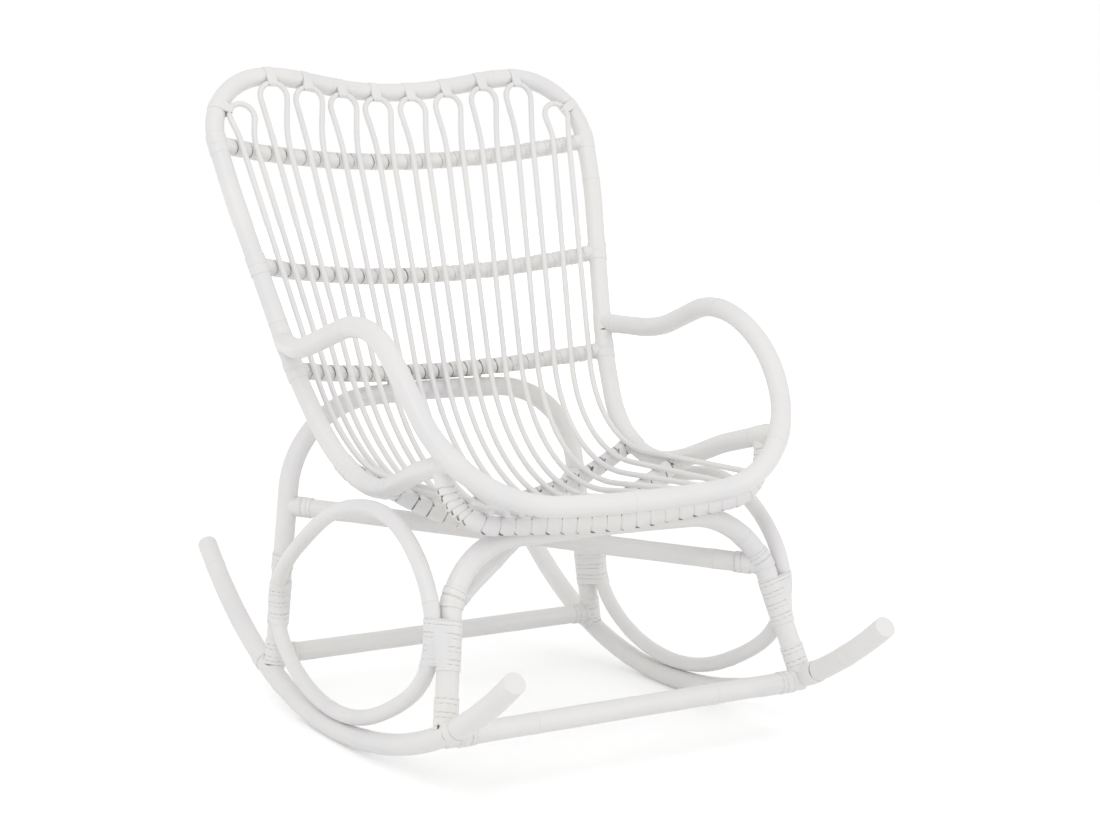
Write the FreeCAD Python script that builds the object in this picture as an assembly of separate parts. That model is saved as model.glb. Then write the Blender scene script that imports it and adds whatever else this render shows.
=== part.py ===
import FreeCAD, Part
import math
import os

from FreeCAD import Vector

os.makedirs("parts", exist_ok=True)

# Rattan rocking chair at rest. Millimetres, +Z up, the sitter faces -Y, +X is the sitter's left.
# The origin is on the floor, under the middle of the chair, where the rockers touch down.

# Overall sizes
chairHeight = 952.0          # floor to the top of the back
hoopWidth = 650.0            # between the centre lines of the back hoop at its widest
chairDepth = 1020.0          # rocker end to rocker end

# Poles, all diameters over the peeled and painted rattan
rockerDiameter = 30.0
legDiameter = 30.0
armDiameter = 29.0
hoopDiameter = 28.0
braceDiameter = 28.0
stretcherDiameter = 29.0
ringDiameter = 22.0
barDiameter = 26.0           # back and seat bars with their cane skin
spindleDiameter = 8.6
jointGap = 0.3               # between a shaped end, or a lashing, and the pole that it seats on

# Rockers: two arcs that meet where the rocker touches the floor, under the centre of mass
touchDownY = 36.0
rockerFrontRadius = 862.0    # centre lines
rockerRearRadius = 668.0
rockerInset = 40.0           # of each rocker's centre line, from the hoop's widest place
rockerFrontInset = 10.0      # of the centre of the cut front end, from the end of the depth
rockerRearInset = 14.0       # of the centre line where the rounded rear end begins
rockerEndRound = 9.0

# Leg arches: each foot is set in from a rocker end, and each crown stands under the bar that it carries
frontFootInset = 193.0
frontArchDrop = 5.0          # of its centre line below the front seat bar
frontArchLean = 16.5         # degrees
rearFootInset = 264.0
rearArchLean = 1.0

# Side rings: ovals that stand on the rockers between the legs
ringOverhang = 70.0          # length of the oval's outline beyond the distance between the feet
ringRise = 25.0              # of its highest corner above the front arch, where its lowest is at the floor
ringLift = 14.0              # first place of its lowest corner, before the ring is slid against the poles

# Back bars, top to bottom: how far their middles hang below their ends and bow out behind them
backBarSags = [31.0, 31.0, 26.0]
backBarBows = [38.0, 61.4, 77.8]

# Seat bars: how low their middles hang below their ends on the side rails
rearSeatBarSag = 75.3
middleSeatBarSag = 73.5
frontSeatBarSag = 98.0
frontSeatBarInset = 3.6      # of its lower corners from the side rails
frontSeatBarRise = 20.0      # of those corners above its middle
frontSeatBarSetback = 20.0   # of its ends behind those corners

# Spindles: ten bent loops, two legs each
loopCount = 10
loopSideRoom = 20.0          # from the hoop's widest place to the first loop
loopLegSpace = 33.0          # between the two legs of a loop at the top back bar
lowerBarRoom = 30.2          # from the stile's centre line to the first leg at the lower back bar
frontSeatRoom = 31.6         # from the side rail's centre line to the first leg at the front seat bar
crownGap = 0.4               # between neighbouring crowns
crownTilt = 30.0             # degrees below level, from the top rail to the crowns that hang on it
spindleOverhang = 16.0       # past the front seat bar

# Stretchers, height of their centre lines; crossed braces, how far their rear ends lie below the middle
# of the rear seat bar, and their front ends below that of the middle one
frontStretcherHeight = 87.0
rearStretcherHeight = 72.0
lowerBraceRearDrop = 8.0
lowerBraceFrontDrop = 49.5
upperBraceRearDrop = 5.0
upperBraceFrontDrop = 46.5

# Cane lashings
caneThickness = 1.6
railLashingLength = 17.0
barLashingLength = 32.0
armLashingLength = 38.0
hoopLashingLength = 48.0
footLashingLength = 42.0
footLashingRise = 6.0        # of its lower edge above the rocker's centre line
ringLashingLength = 56.0
upperRingLashingLength = 20.0
upperRingLashingRise = 52.0  # above the lashing where ring and leg touch
endLashingLength = 24.0
crossLashingLength = 40.0

# Wood screws that hold the feet, bars and braces under their lashings
screwDiameter = 3.8
screwHeadDiameter = 7.6
screwHeadHeight = 3.2
screwLength = 48.0
footScrewLength = 60.0
ringScrewLength = 40.0
armScrewLength = 40.0
archScrewPlace = 80.0        # of the arch screws, from the middle of the chair
stretcherScrewAside = 7.6    # of the stretcher screws, behind the middle of the stretcher
screwSink = 4.0              # of the head below the surface
screwFit = 0.2               # room round the shank

halfHoop = hoopWidth / 2
halfDepth = chairDepth / 2
halfSpacing = halfHoop - rockerInset
rockerFrontEndY = rockerFrontInset - halfDepth
rockerRearEndY = halfDepth - rockerRearInset
frontFootReach = halfDepth - frontFootInset
rearFootReach = halfDepth - rearFootInset
loopPitch = 2 * (halfHoop - loopSideRoom) / loopCount
spindleSeat = (barDiameter + spindleDiameter) / 2 + jointGap
halvings = 40                # steps of a search by halving
settlings = 5                # rounds in which places that hang on each other come to rest
tinyShare = 1e-4             # of a pole's radius, below which a run is left out
fullShare = 0.995            # of a run, that its two bends take at most


# Bent poles: straight runs joined by tangent arcs

def unit(v):
    return Vector(v) * (1 / v.Length)


def bend(corners, radii):
    # Runs and arcs through a list of corners, one bend radius for each inner corner.
    runs = []
    start = corners[0]
    for before, corner, after, radius in zip(corners, corners[1:], corners[2:], radii):
        back = unit(before - corner)
        ahead = unit(after - corner)
        turn = math.pi - back.getAngle(ahead)
        reach = radius * math.tan(turn / 2)
        first = corner + back * reach
        last = corner + ahead * reach
        centre = corner + unit(back + ahead) * (radius / math.cos(turn / 2))
        axis = unit((first - centre).cross(last - centre))
        if (first - start).Length > radius * tinyShare:
            runs.append({"kind": "line", "start": start, "end": first})
        runs.append({"kind": "arc", "start": first, "end": last, "centre": centre,
                     "axis": axis, "turn": turn, "radius": radius})
        start = last
    runs.append({"kind": "line", "start": start, "end": corners[-1]})
    return runs


def fittedRadii(corners, shares):
    # Each bend takes its share of the shorter run beside its corner, and two bends share a full run.
    lengths = [(after - before).Length for before, after in zip(corners, corners[1:])]
    reaches = [share * min(pair) for share, pair in zip(shares, zip(lengths, lengths[1:]))]
    fills = [(first + last) / length for first, last, length in zip(reaches, reaches[1:], lengths[1:-1])]
    fills = [fullShare] + fills + [fullShare]
    radii = []
    neighbours = zip(corners, corners[1:], corners[2:])
    for (before, corner, after), reach, fill in zip(neighbours, reaches, zip(fills, fills[1:])):
        turn = math.pi - (before - corner).getAngle(after - corner)
        radii.append(reach * fullShare / max(fullShare, *fill) / math.tan(turn / 2))
    return radii


def bentRing(corners, radii):
    # A closed loop of runs: as bend, but the last run leads back to the first bend.
    count = len(corners)
    around = [corners[(i - 1) % count] for i in range(count + 2)]
    start = (corners[-1] + corners[0]) * 0.5
    runs = bend([start] + around[1:-1] + [start], radii)
    return runs


def threePointArc(first, middle, last):
    # One arc through three points, as a path of a single run.
    circle = Part.Arc(first, middle, last).toShape().Curve
    centre = circle.Center
    axis = unit((first - centre).cross(last - centre))
    turn = (first - centre).getAngle(last - centre)
    return [{"kind": "arc", "start": first, "end": last, "centre": centre,
             "axis": axis, "turn": turn, "radius": circle.Radius}]


def straight(first, last):
    return [{"kind": "line", "start": first, "end": last}]


def turned(point, centre, axis, angle):
    return centre + FreeCAD.Rotation(axis, math.degrees(angle)).multVec(point - centre)


def runLength(run):
    if run["kind"] == "line":
        return (run["end"] - run["start"]).Length
    return run["radius"] * run["turn"]


def pathLength(path):
    return sum(runLength(run) for run in path)


def runPoint(run, distance):
    if run["kind"] == "line":
        return run["start"] + runDirection(run, 0) * distance
    return turned(run["start"], run["centre"], run["axis"], distance / run["radius"])


def runDirection(run, distance):
    if run["kind"] == "line":
        return unit(run["end"] - run["start"])
    return unit(run["axis"].cross(runPoint(run, distance) - run["centre"]))


def locate(path, distance):
    # The run that a distance along the path falls in, and the distance within that run.
    for run in path[:-1]:
        length = runLength(run)
        if distance <= length:
            return run, distance
        distance -= length
    return path[-1], distance


def pointAt(path, distance):
    return runPoint(*locate(path, distance))


def directionAt(path, distance):
    return runDirection(*locate(path, distance))


def cutRun(run, low, high):
    piece = dict(run)
    piece["start"] = runPoint(run, low)
    piece["end"] = runPoint(run, high)
    if run["kind"] == "arc":
        piece["turn"] = (high - low) / run["radius"]
    return piece


def stretch(path, low, high):
    # The part of a path between two distances along it.
    pieces = []
    reached = 0
    for run in path:
        length = runLength(run)
        first = max(low - reached, 0)
        last = min(high - reached, length)
        if last > first + length * tinyShare:
            pieces.append(cutRun(run, first, last))
        reached += length
    return pieces


def middleStretch(path, place, length):
    return stretch(path, place - length / 2, place + length / 2)


def moved(path, shift):
    shifted = []
    for run in path:
        piece = dict(run)
        for key in ("start", "end", "centre"):
            if key in run:
                piece[key] = run[key] + shift
        shifted.append(piece)
    return shifted


def flipped(path):
    # The same path on the other side of the chair.
    sides = []
    for run in path:
        piece = dict(run)
        for key in ("start", "end", "centre"):
            if key in run:
                piece[key] = Vector(-run[key].x, run[key].y, run[key].z)
        if "axis" in run:
            piece["axis"] = Vector(run["axis"].x, -run["axis"].y, -run["axis"].z)
        sides.append(piece)
    return sides


def distanceWhere(path, measure, goal, low=0, high=None):
    # Distance along a path where measure(point) passes goal, by halving.
    high = pathLength(path) if high is None else high
    rising = measure(pointAt(path, high)) > measure(pointAt(path, low))
    for step in range(halvings):
        middle = (low + high) / 2
        if (measure(pointAt(path, middle)) < goal) == rising:
            low = middle
        else:
            high = middle
    return (low + high) / 2


def centreLine(path):
    edges = []
    for run in path:
        if run["kind"] == "line":
            edges.append(Part.LineSegment(run["start"], run["end"]).toShape())
        else:
            middle = runPoint(run, runLength(run) / 2)
            edges.append(Part.Arc(run["start"], middle, run["end"]).toShape())
    return Part.makeCompound(edges)


def apart(path, other):
    # Shortest distance between two centre lines.
    return centreLine(path).distToShape(centreLine(other))[0]


def seatPlace(path, other):
    # Distances along a path and another where they come closest.
    near, far = centreLine(path).distToShape(centreLine(other))[1][0]
    return nearest(path, near), nearest(other, far)


def nearest(path, point):
    # Distance along a path to the place nearest to a point, run by run.
    best = None
    reached = 0
    for run in path:
        length = runLength(run)
        if run["kind"] == "line":
            along = (point - run["start"]).dot(runDirection(run, 0))
        else:
            arm = point - run["centre"]
            start = run["start"] - run["centre"]
            along = math.atan2(start.cross(arm).dot(run["axis"]), start.dot(arm)) * run["radius"]
        along = min(max(along, 0), length)
        gap = (runPoint(run, along) - point).Length
        if best is None or gap < best[0]:
            best = (gap, reached + along)
        reached += length
    return best[1]


def slideShift(path, direction, other, goal, farthest):
    # How far a path slides along a direction until it is goal away from another path.
    # At farthest it is clear of the other path.
    near, far = -farthest, farthest
    for step in range(halvings // 2):
        middle = (near + far) / 2
        if apart(moved(path, direction * middle), other) < goal:
            near = middle
        else:
            far = middle
    return direction * far


# Solids: round poles and the sleeves that lashings make

def ringEdge(centre, direction, radius):
    return Part.Circle(centre, direction, radius).toShape()


def skinFaces(path, radius):
    # Side faces of a round pole along a path, with the rings at its two ends.
    ring = ringEdge(path[0]["start"], runDirection(path[0], 0), radius)
    firstRing = ring
    faces = []
    for run in path:
        if run["kind"] == "line":
            travel = run["end"] - run["start"]
            faces.append(ring.extrude(travel))
            ring = ring.translated(travel)
        else:
            degrees = math.degrees(run["turn"])
            faces.append(ring.revolve(run["centre"], run["axis"], degrees))
            ring = ring.rotated(run["centre"], run["axis"], degrees)
    return faces, firstRing, ring


def closed(faces):
    shell = Part.makeShell([face for shape in faces for face in shape.Faces])
    shell.sewShape()
    if Part.makeSolid(shell).Volume < 0:
        shell.reverse()
    return Part.makeSolid(shell)


def roundedCap(ring, outward, rounding):
    # End faces of a pole whose rim is rounded, from its last ring.
    centre = ring.Curve.Center
    rim = ring.Vertexes[0].Point
    inward = unit(centre - rim)
    hub = rim + inward * rounding
    shoulder = hub + unit(outward - inward) * rounding
    top = hub + outward * rounding
    side = Part.Arc(rim, shoulder, top).toShape().revolve(centre, outward, 360)
    flat = [edge for edge in side.Edges if edge.Closed and (edge.Vertexes[0].Point - top).Length < jointGap]
    return [side, Part.Face(Part.Wire(flat[0]))]


def pole(path, diameter, rounding=0):
    # A round pole along a path. A rounding shapes the rim of its last end.
    faces, firstRing, lastRing = skinFaces(path, diameter / 2)
    faces.append(Part.Face(Part.Wire(firstRing)))
    if rounding:
        outward = runDirection(path[-1], runLength(path[-1]))
        faces += roundedCap(lastRing, outward, rounding)
    else:
        faces.append(Part.Face(Part.Wire(lastRing)))
    return closed(faces)


def seat(path, diameter):
    # What a pole takes out of the pieces that are shaped to it.
    return pole(path, diameter + 2 * jointGap)


def ringPole(path, diameter):
    # A closed ring: its skin has no end faces.
    # The closing run is straight, and ruled back to the very first ring, so that no gap is left.
    faces, firstRing, lastRing = skinFaces(path[:-1], diameter / 2)
    faces.append(Part.makeRuledSurface(lastRing, firstRing))
    return closed(faces)


def mirrored(shape):
    return shape.mirror(Vector(0, 0, 0), Vector(1, 0, 0))


def acrossMiddle(half, middle):
    # Corners of a symmetrical pole: the +X half mirrored, with one corner in the middle.
    return [Vector(-p.x, p.y, p.z) for p in half] + [middle] + list(reversed(half))


def trimmed(shape, cutters):
    # A piece with its ends shaped to the poles that it meets: the largest solid is kept.
    for cutter in cutters:
        shape = shape.cut(cutter)
    return max(shape.Solids, key=lambda solid: solid.Volume)


def lashing(path, place, length, diameter, cutters):
    # A sleeve of wound cane round a pole, open where another pole passes through it.
    part = middleStretch(path, place, length)
    inner = diameter / 2 + jointGap
    band = pole(part, 2 * (inner + caneThickness)).cut(pole(part, 2 * inner))
    return trimmed(band, cutters)


def save(shape, name):
    shape.exportStep("parts/" + name + ".step")
    print(name, len(shape.Solids), "solid(s)", round(shape.Volume), "mm3", shape.isValid())


# Rockers

def rockerHeight(y):
    # Height of a rocker's centre line.
    radius = rockerFrontRadius if y < touchDownY else rockerRearRadius
    return rockerDiameter / 2 + radius - math.sqrt(radius ** 2 - (y - touchDownY) ** 2)


def onRocker(y):
    return Vector(halfSpacing, y, rockerHeight(y))


touchDown = onRocker(touchDownY)
frontArc = threePointArc(onRocker(rockerFrontEndY), onRocker((rockerFrontEndY + touchDownY) / 2), touchDown)
rearArc = threePointArc(touchDown, onRocker((rockerRearEndY + touchDownY) / 2), onRocker(rockerRearEndY))
rockerPath = frontArc + rearArc
rockerLeft = pole(rockerPath, rockerDiameter, rockerEndRound)
rockerSeats = [seat(rockerPath, rockerDiameter), seat(flipped(rockerPath), rockerDiameter)]


# Back hoop: stiles, camel back top rail and seat side rails in one bent pole
# Each corner is a share of the half width, the half depth and the height.

backHoopShares = [
    (0.760, -0.336, 0.430),
    (0.704, 0.115, 0.3385),
    (0.818, 0.361, 0.533),
    (0.9705, 0.602, 0.8226),
    (1.001, 0.759, 0.9845),
    (0.573, 0.763, 0.9825),
]
backMiddleShare = (0.0, 0.810, 0.948)
backBendShares = [0.1273, 0.6874, 0.1153, 0.3468, 0.8033, 0.1901]
backDipShares = [0.567]
hoopEndHeightShare = 0.46324     # where the back hoop's front ends meet the arm hoop


def atShares(share):
    return Vector(halfHoop * share[0], halfDepth * share[1], chairHeight * share[2])


# Arm hoop: both arms and the front seat rail in one bent pole

armHoopShares = [
    (0.845, 0.402, 0.5787),
    (0.932, 0.173, 0.5773),
    (0.881, -0.207, 0.645),
    (0.903, -0.432, 0.5695),
    (0.808, -0.650, 0.4013),
]
armMiddleShare = (0.0, -0.6915, 0.3933)
armBendShares = [0.3652, 0.5909, 0.3972, 0.7177]
armFrontShares = [0.339]
armCorners = acrossMiddle([atShares(s) for s in armHoopShares], atShares(armMiddleShare))
armPath = bend(armCorners, fittedRadii(armCorners, armBendShares + armFrontShares + armBendShares[::-1]))
armMiddle = pathLength(armPath) / 2
armFrontHigh = nearest(armPath, armCorners[-3])

# The back hoop's front ends run into the arm hoop, where it turns down to the front rail.
hoopEndHeight = chairHeight * hoopEndHeightShare
hoopEndDistance = distanceWhere(armPath, lambda p: p.z, hoopEndHeight, armMiddle, armFrontHigh)
hoopEnd = pointAt(armPath, hoopEndDistance)
backCorners = acrossMiddle([hoopEnd] + [atShares(s) for s in backHoopShares], atShares(backMiddleShare))
backPath = bend(backCorners, fittedRadii(backCorners, backBendShares + backDipShares + backBendShares[::-1]))
backMiddle = pathLength(backPath) / 2
railLow = nearest(backPath, backCorners[-3])      # lowest part of the left side rail
stileTop = nearest(backPath, backCorners[-6])     # left top corner

# Each hoop is shaped to the other where its own ends meet it.
armFront = stretch(armPath, armMiddle, armFrontHigh)
stileSeat = seat(stretch(backPath, backMiddle, railLow), hoopDiameter)
armFrontSeats = [seat(armFront, armDiameter), seat(flipped(armFront), armDiameter)]
backHoop = trimmed(pole(backPath, hoopDiameter), armFrontSeats)
armHoop = trimmed(pole(armPath, armDiameter), [stileSeat, mirrored(stileSeat)])
backSeat = seat(backPath, hoopDiameter)


# Back bars: arcs from stile to stile

def onHoop(measure, goal, low, high):
    return pointAt(backPath, distanceWhere(backPath, measure, goal, low, high))


def acrossArc(end, middle):
    # A bar bowed from one side rail or stile to the other.
    return threePointArc(Vector(-end.x, end.y, end.z), middle, end)


# Where their ends meet the stiles, as shares of the height.
backBarEndShares = [0.8771, 0.6933, 0.5357]
backBarPaths = []
for share, sag, bow in zip(backBarEndShares, backBarSags, backBarBows):
    end = onHoop(lambda p: p.z, chairHeight * share, stileTop, railLow)
    backBarPaths.append(acrossArc(end, Vector(0, end.y + bow, end.z - sag)))
backBars = [trimmed(pole(path, barDiameter), [backSeat]) for path in backBarPaths]


# Seat bars between the side rails

# Where their ends meet the rails, as shares of the half depth.
seatBarEndShares = [0.1235, -0.1314, -0.4902]
hoopFront = pathLength(backPath)
railStarts = [nearest(backPath, backCorners[-4]), railLow, railLow]
seatEnds = [onHoop(lambda p: p.y, halfDepth * share, start, hoopFront)
            for share, start in zip(seatBarEndShares, railStarts)]
rearSeatEnd, middleSeatEnd, frontSeatEnd = seatEnds
rearSeatPath = acrossArc(rearSeatEnd, Vector(0, rearSeatEnd.y, rearSeatEnd.z - rearSeatBarSag))
middleSeatPath = acrossArc(middleSeatEnd, Vector(0, middleSeatEnd.y, middleSeatEnd.z - middleSeatBarSag))
frontSeatBarLow = frontSeatEnd.z - frontSeatBarSag


# Leg arches: each one bent pole, standing on both rockers

frontArchShares = [(1.0, 0.0), (0.822, 0.985), (0.0, 1.0)]
rearArchShares = [(0.985, 0.0), (0.83, 0.985), (0.0, 1.0)]
frontArchBendShares = [0.4164, 0.0606, 0.4164]
rearArchBendShares = [0.5461, 0.1969, 0.5461]
barLegTouch = (barDiameter + legDiameter) / 2 + jointGap


def archPath(footY, height, lean, shares, bendShares):
    # Corners in the leaning plane of an arch, from shares of the half spacing and the height.
    slope = math.tan(math.radians(lean))
    footZ = rockerHeight(footY)
    points = []
    for acrossShare, upShare in shares:
        z = footZ + (height - footZ) * upShare
        points.append(Vector(halfSpacing * acrossShare, footY + (z - footZ) * slope, z))
    corners = acrossMiddle(points[:-1], points[-1])
    return bend(corners, fittedRadii(corners, bendShares))


frontArchHeight = frontSeatBarLow - frontArchDrop
frontArchPath = archPath(-frontFootReach, frontArchHeight, frontArchLean, frontArchShares,
                         frontArchBendShares)

# The rear arch is as high as it can be under the lower back bar.
lowBarPath = backBarPaths[2]
lowBarHeight = pointAt(lowBarPath, pathLength(lowBarPath) / 2).z
low, high = lowBarHeight - 2 * barLegTouch, lowBarHeight
for step in range(halvings // 2):
    rearArchHeight = (low + high) / 2
    rearArchPath = archPath(rearFootReach, rearArchHeight, rearArchLean, rearArchShares, rearArchBendShares)
    if apart(rearArchPath, lowBarPath) < barLegTouch:
        high = rearArchHeight
    else:
        low = rearArchHeight
frontArch = trimmed(pole(frontArchPath, legDiameter), rockerSeats)
rearArch = trimmed(pole(rearArchPath, legDiameter), rockerSeats)
frontArchSeat = seat(frontArchPath, legDiameter)
rearArchSeat = seat(rearArchPath, legDiameter)


# Side rings: each an oval, tied to the front leg, the rear leg and the rocker

# Corners of the oval as shares of its length and height, from its middle.
ringShares = [(-0.5, 0.014), (-0.185, 0.5), (0.118, 0.398), (0.5, -0.068), (0.307, -0.322), (0.060, -0.5)]
ringBendShares = [0.5735, 0.3858, 0.1656, 0.6186, 0.1065, 0.8957]
ringLength = frontFootReach + rearFootReach + ringOverhang
ringHeight = frontArchHeight + ringRise
ringMiddle = Vector(halfSpacing + jointGap, rearFootReach - ringLength / 2, ringLift + ringHeight / 2)
ringCorners = [ringMiddle + Vector(0, ringLength * a, ringHeight * b) for a, b in ringShares]
ringAround = [ringCorners[-1]] + ringCorners + [ringCorners[0]]
ringPath = bentRing(ringCorners, fittedRadii(ringAround, ringBendShares))
legTouch = (legDiameter + ringDiameter) / 2 + jointGap
rockerTouch = (rockerDiameter + ringDiameter) / 2 + jointGap
frontLegPath = stretch(frontArchPath, pathLength(frontArchPath) / 2, pathLength(frontArchPath))
rearLegPath = stretch(rearArchPath, pathLength(rearArchPath) / 2, pathLength(rearArchPath))
for turnRound in range(settlings):
    ringPath = moved(ringPath, slideShift(ringPath, Vector(0, -1, 0), rearLegPath, legTouch, ringDiameter))
    ringPath = moved(ringPath, slideShift(ringPath, Vector(0, 0, 1), rockerPath, rockerTouch, ringDiameter))
    ringPath = moved(ringPath, slideShift(ringPath, Vector(1, 0, 0), frontLegPath, legTouch, ringDiameter))
ringLeft = ringPole(ringPath, ringDiameter)
ringSeat = ringPole(ringPath, ringDiameter + 2 * jointGap)
ringSeats = [ringSeat, mirrored(ringSeat)]


# Front seat bar: bent down between the rails, and slid against the front arch

frontBarShares = [0.8234, 0.2848, 0.8234]
frontSeatBarY = pointAt(frontArchPath, pathLength(frontArchPath) / 2).y - barLegTouch
frontSeatMiddle = Vector(0, frontSeatBarY, frontSeatBarLow)
frontSeatCorner = frontSeatMiddle + Vector(frontSeatEnd.x - frontSeatBarInset, 0, frontSeatBarRise)
frontBarEnd = Vector(frontSeatEnd.x, frontSeatBarY + frontSeatBarSetback, frontSeatEnd.z)
frontSeatCorners = acrossMiddle([frontBarEnd, frontSeatCorner], frontSeatMiddle)
frontSeatPath = bend(frontSeatCorners, fittedRadii(frontSeatCorners, frontBarShares))
frontSeatPath = moved(frontSeatPath, slideShift(frontSeatPath, Vector(0, -1, 0), frontArchPath, barLegTouch,
                                                barDiameter))
seatBarPaths = [rearSeatPath, middleSeatPath, frontSeatPath]
seatBars = [trimmed(pole(path, barDiameter), [backSeat] + armFrontSeats) for path in seatBarPaths]


# Spindles: each loop runs up from the seat front, over the top in a crown and down again

def beside(path, x, along, outward):
    # Centre of a spindle that crosses a bar at x and rests on the bar's outward side.
    distance = distanceWhere(path, lambda p: p.x, x)
    normal = unit(directionAt(path, distance).cross(along))
    slope = abs(normal.dot(outward))
    place = pointAt(path, distance) + outward * (spindleSeat / slope)
    reach = unit(along) * barDiameter
    short = spindleSeat - apart(straight(place - reach, place + reach), path)
    return place + outward * (short / slope)


def sideNormal(along):
    # Square to a direction in the side view, turned towards the sitter.
    return unit(Vector(0, along.z, -along.y))


def sideCrossing(a, aStep, b, bStep):
    # Share of aStep, from a, where two lines cross in the side view.
    gap = b - a
    return (gap.y * bStep.z - gap.z * bStep.y) / (aStep.y * bStep.z - aStep.z * bStep.y)


def inPlane(point, corner, first, second):
    # x of the plane through a corner and two directions, at a point's side view place.
    gap = point - corner
    spread = first.y * second.z - first.z * second.y
    firstShare = (gap.y * second.z - gap.z * second.y) / spread
    secondShare = (first.y * gap.z - first.z * gap.y) / spread
    return corner.x + firstShare * first.x + secondShare * second.x


barMiddles = [pointAt(path, pathLength(path) / 2) for path in backBarPaths + seatBarPaths[1:]]


def legShape(index):
    # One leg of a loop: its front end, seat corner and place on the top bar, and its seat bend.
    side = 2 * index / (2 * loopCount - 1) - 1
    loop = index // 2
    xTop = (loop - (loopCount - 1) / 2) * loopPitch + (index % 2 * 2 - 1) * loopLegSpace / 2
    topPath, middlePath, lowPath = backBarPaths
    xLow = side * (lowPath[-1]["end"].x - lowerBarRoom)
    xFront = side * (frontSeatEnd.x - frontSeatRoom)
    down = barMiddles[2] - barMiddles[0]
    forward = barMiddles[4] - barMiddles[3]
    xMiddle = xFront
    for turnRound in range(settlings):
        top = beside(topPath, xTop, unit(down), sideNormal(down))
        low = beside(lowPath, xLow, unit(down), sideNormal(down))
        rise = sideNormal(forward)
        over = beside(middleSeatPath, xMiddle, unit(forward), rise)
        front = beside(frontSeatPath, xFront, unit(forward), rise)
        down = low - top
        forward = front - over
        corner = top + down * sideCrossing(top, down, over, forward)
        share = (over.y - corner.y) / (front.y - corner.y)
        xMiddle = corner.x + (front.x - corner.x) * share
    corner = top + down * sideCrossing(top, down, over, forward)
    back = unit(front - corner)
    ahead = unit(top - corner)
    turn = math.pi - back.getAngle(ahead)
    slant = unit(back + ahead) * (1 / math.cos(turn / 2))
    axis = unit(back.cross(ahead))
    outward = unit(back + ahead)
    x = corner.x
    for turnRound in range(settlings):
        # The seat bend is the circle along both straights that rests on the rear seat bar.
        distance = distanceWhere(rearSeatPath, lambda p: p.x, x)
        centre = pointAt(rearSeatPath, distance)
        normal = unit(directionAt(rearSeatPath, distance).cross(outward.cross(axis)))
        lift = spindleSeat / abs(normal.dot(outward))
        gap = corner - centre
        square = math.tan(turn / 2) ** 2
        linear = 2 * (slant.dot(gap) - lift)
        constant = gap.dot(gap) - lift * lift
        radius = (-linear + math.sqrt(linear * linear - 4 * square * constant)) / (2 * square)
        outward = unit(corner + slant * radius - centre)
        x = inPlane(centre + outward * lift, corner, back, ahead)
    return front + back * spindleOverhang, corner, top, radius


def railAt(x):
    # Centre line of the top rail at a place across the chair.
    return onHoop(lambda p: p.x, x, backMiddle - (stileTop - backMiddle), stileTop)


topRailPath = stretch(backPath, backMiddle - (stileTop - backMiddle) * 2, stileTop * 2 - backMiddle)
railTouch = (hoopDiameter + spindleDiameter) / 2 + jointGap
crownHalf = (loopPitch - spindleDiameter - crownGap) / 2
turnRiseShare = 0.3          # of the room between the top bar and the crown, where a leg turns out
turnBendShare = 0.5


def crownOf(left, right, peak):
    # Corners and bends of a crown between two legs, which turn out to it above the top bar.
    # A leg is its seat corner and its place on the top bar.
    points = []
    bends = []
    for (corner, top), inward in zip((left, right), (1, -1)):
        side = peak - Vector(inward * crownHalf, 0, 0)
        turn = top + unit(top - corner) * (turnRiseShare * ((side - top).Length - crownHalf))
        crownAngle = math.pi - (turn - side).getAngle(Vector(inward, 0, 0))
        turnAngle = math.pi - (corner - turn).getAngle(side - turn)
        turnReach = turnBendShare * ((side - turn).Length - crownHalf)
        points.append([turn, side])
        bends.append([turnReach / math.tan(turnAngle / 2), crownHalf / math.tan(crownAngle / 2)])
    return points[0] + points[1][::-1], bends[0] + bends[1][::-1]


def loopPath(index):
    leftEnd, leftCorner, leftTop, leftBend = legShape(2 * index)
    rightEnd, rightCorner, rightTop, rightBend = legShape(2 * index + 1)
    left = (leftCorner, leftTop)
    right = (rightCorner, rightTop)
    x = (index - (loopCount - 1) / 2) * loopPitch
    tilt = math.radians(crownTilt)
    peak = railAt(x) - Vector(0, math.cos(tilt), math.sin(tilt)) * railTouch
    down = unit(leftTop + rightTop - peak - peak)
    near, far = 0, 2 * railTouch
    for step in range(halvings // 2):
        # An outer crown slides down until it clears the rail beside it too.
        drop = (near + far) / 2
        points, bends = crownOf(left, right, peak + down * drop)
        if apart(bend([leftTop] + points + [rightTop], bends), topRailPath) < railTouch:
            near = drop
        else:
            far = drop
    points, bends = crownOf(left, right, peak + down * far)
    points = [leftEnd, leftCorner] + points + [rightCorner, rightEnd]
    return bend(points, [leftBend] + bends + [rightBend])


loopPaths = [loopPath(index) for index in range(loopCount)]
loops = [pole(path, spindleDiameter) for path in loopPaths]


# Stretchers between the rockers, under the feet of the arches

frontStretcherPath = straight(Vector(-halfSpacing, -frontFootReach, frontStretcherHeight),
                              Vector(halfSpacing, -frontFootReach, frontStretcherHeight))
rearStretcherPath = straight(Vector(-halfSpacing, rearFootReach, rearStretcherHeight),
                             Vector(halfSpacing, rearFootReach, rearStretcherHeight))
frontStretcher = trimmed(pole(frontStretcherPath, stretcherDiameter), rockerSeats + [frontArchSeat])
rearStretcher = trimmed(pole(rearStretcherPath, stretcherDiameter), rockerSeats + [rearArchSeat])


# Crossed braces: each from a front leg to the rear leg of the other side

def onLeg(path, height, side):
    # Centre of a leg at a height, on the side +1 or -1.
    low = pathLength(path) / 2
    point = pointAt(path, distanceWhere(path, lambda p: p.z, height, low))
    return Vector(point.x * side, point.y, point.z)


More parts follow.
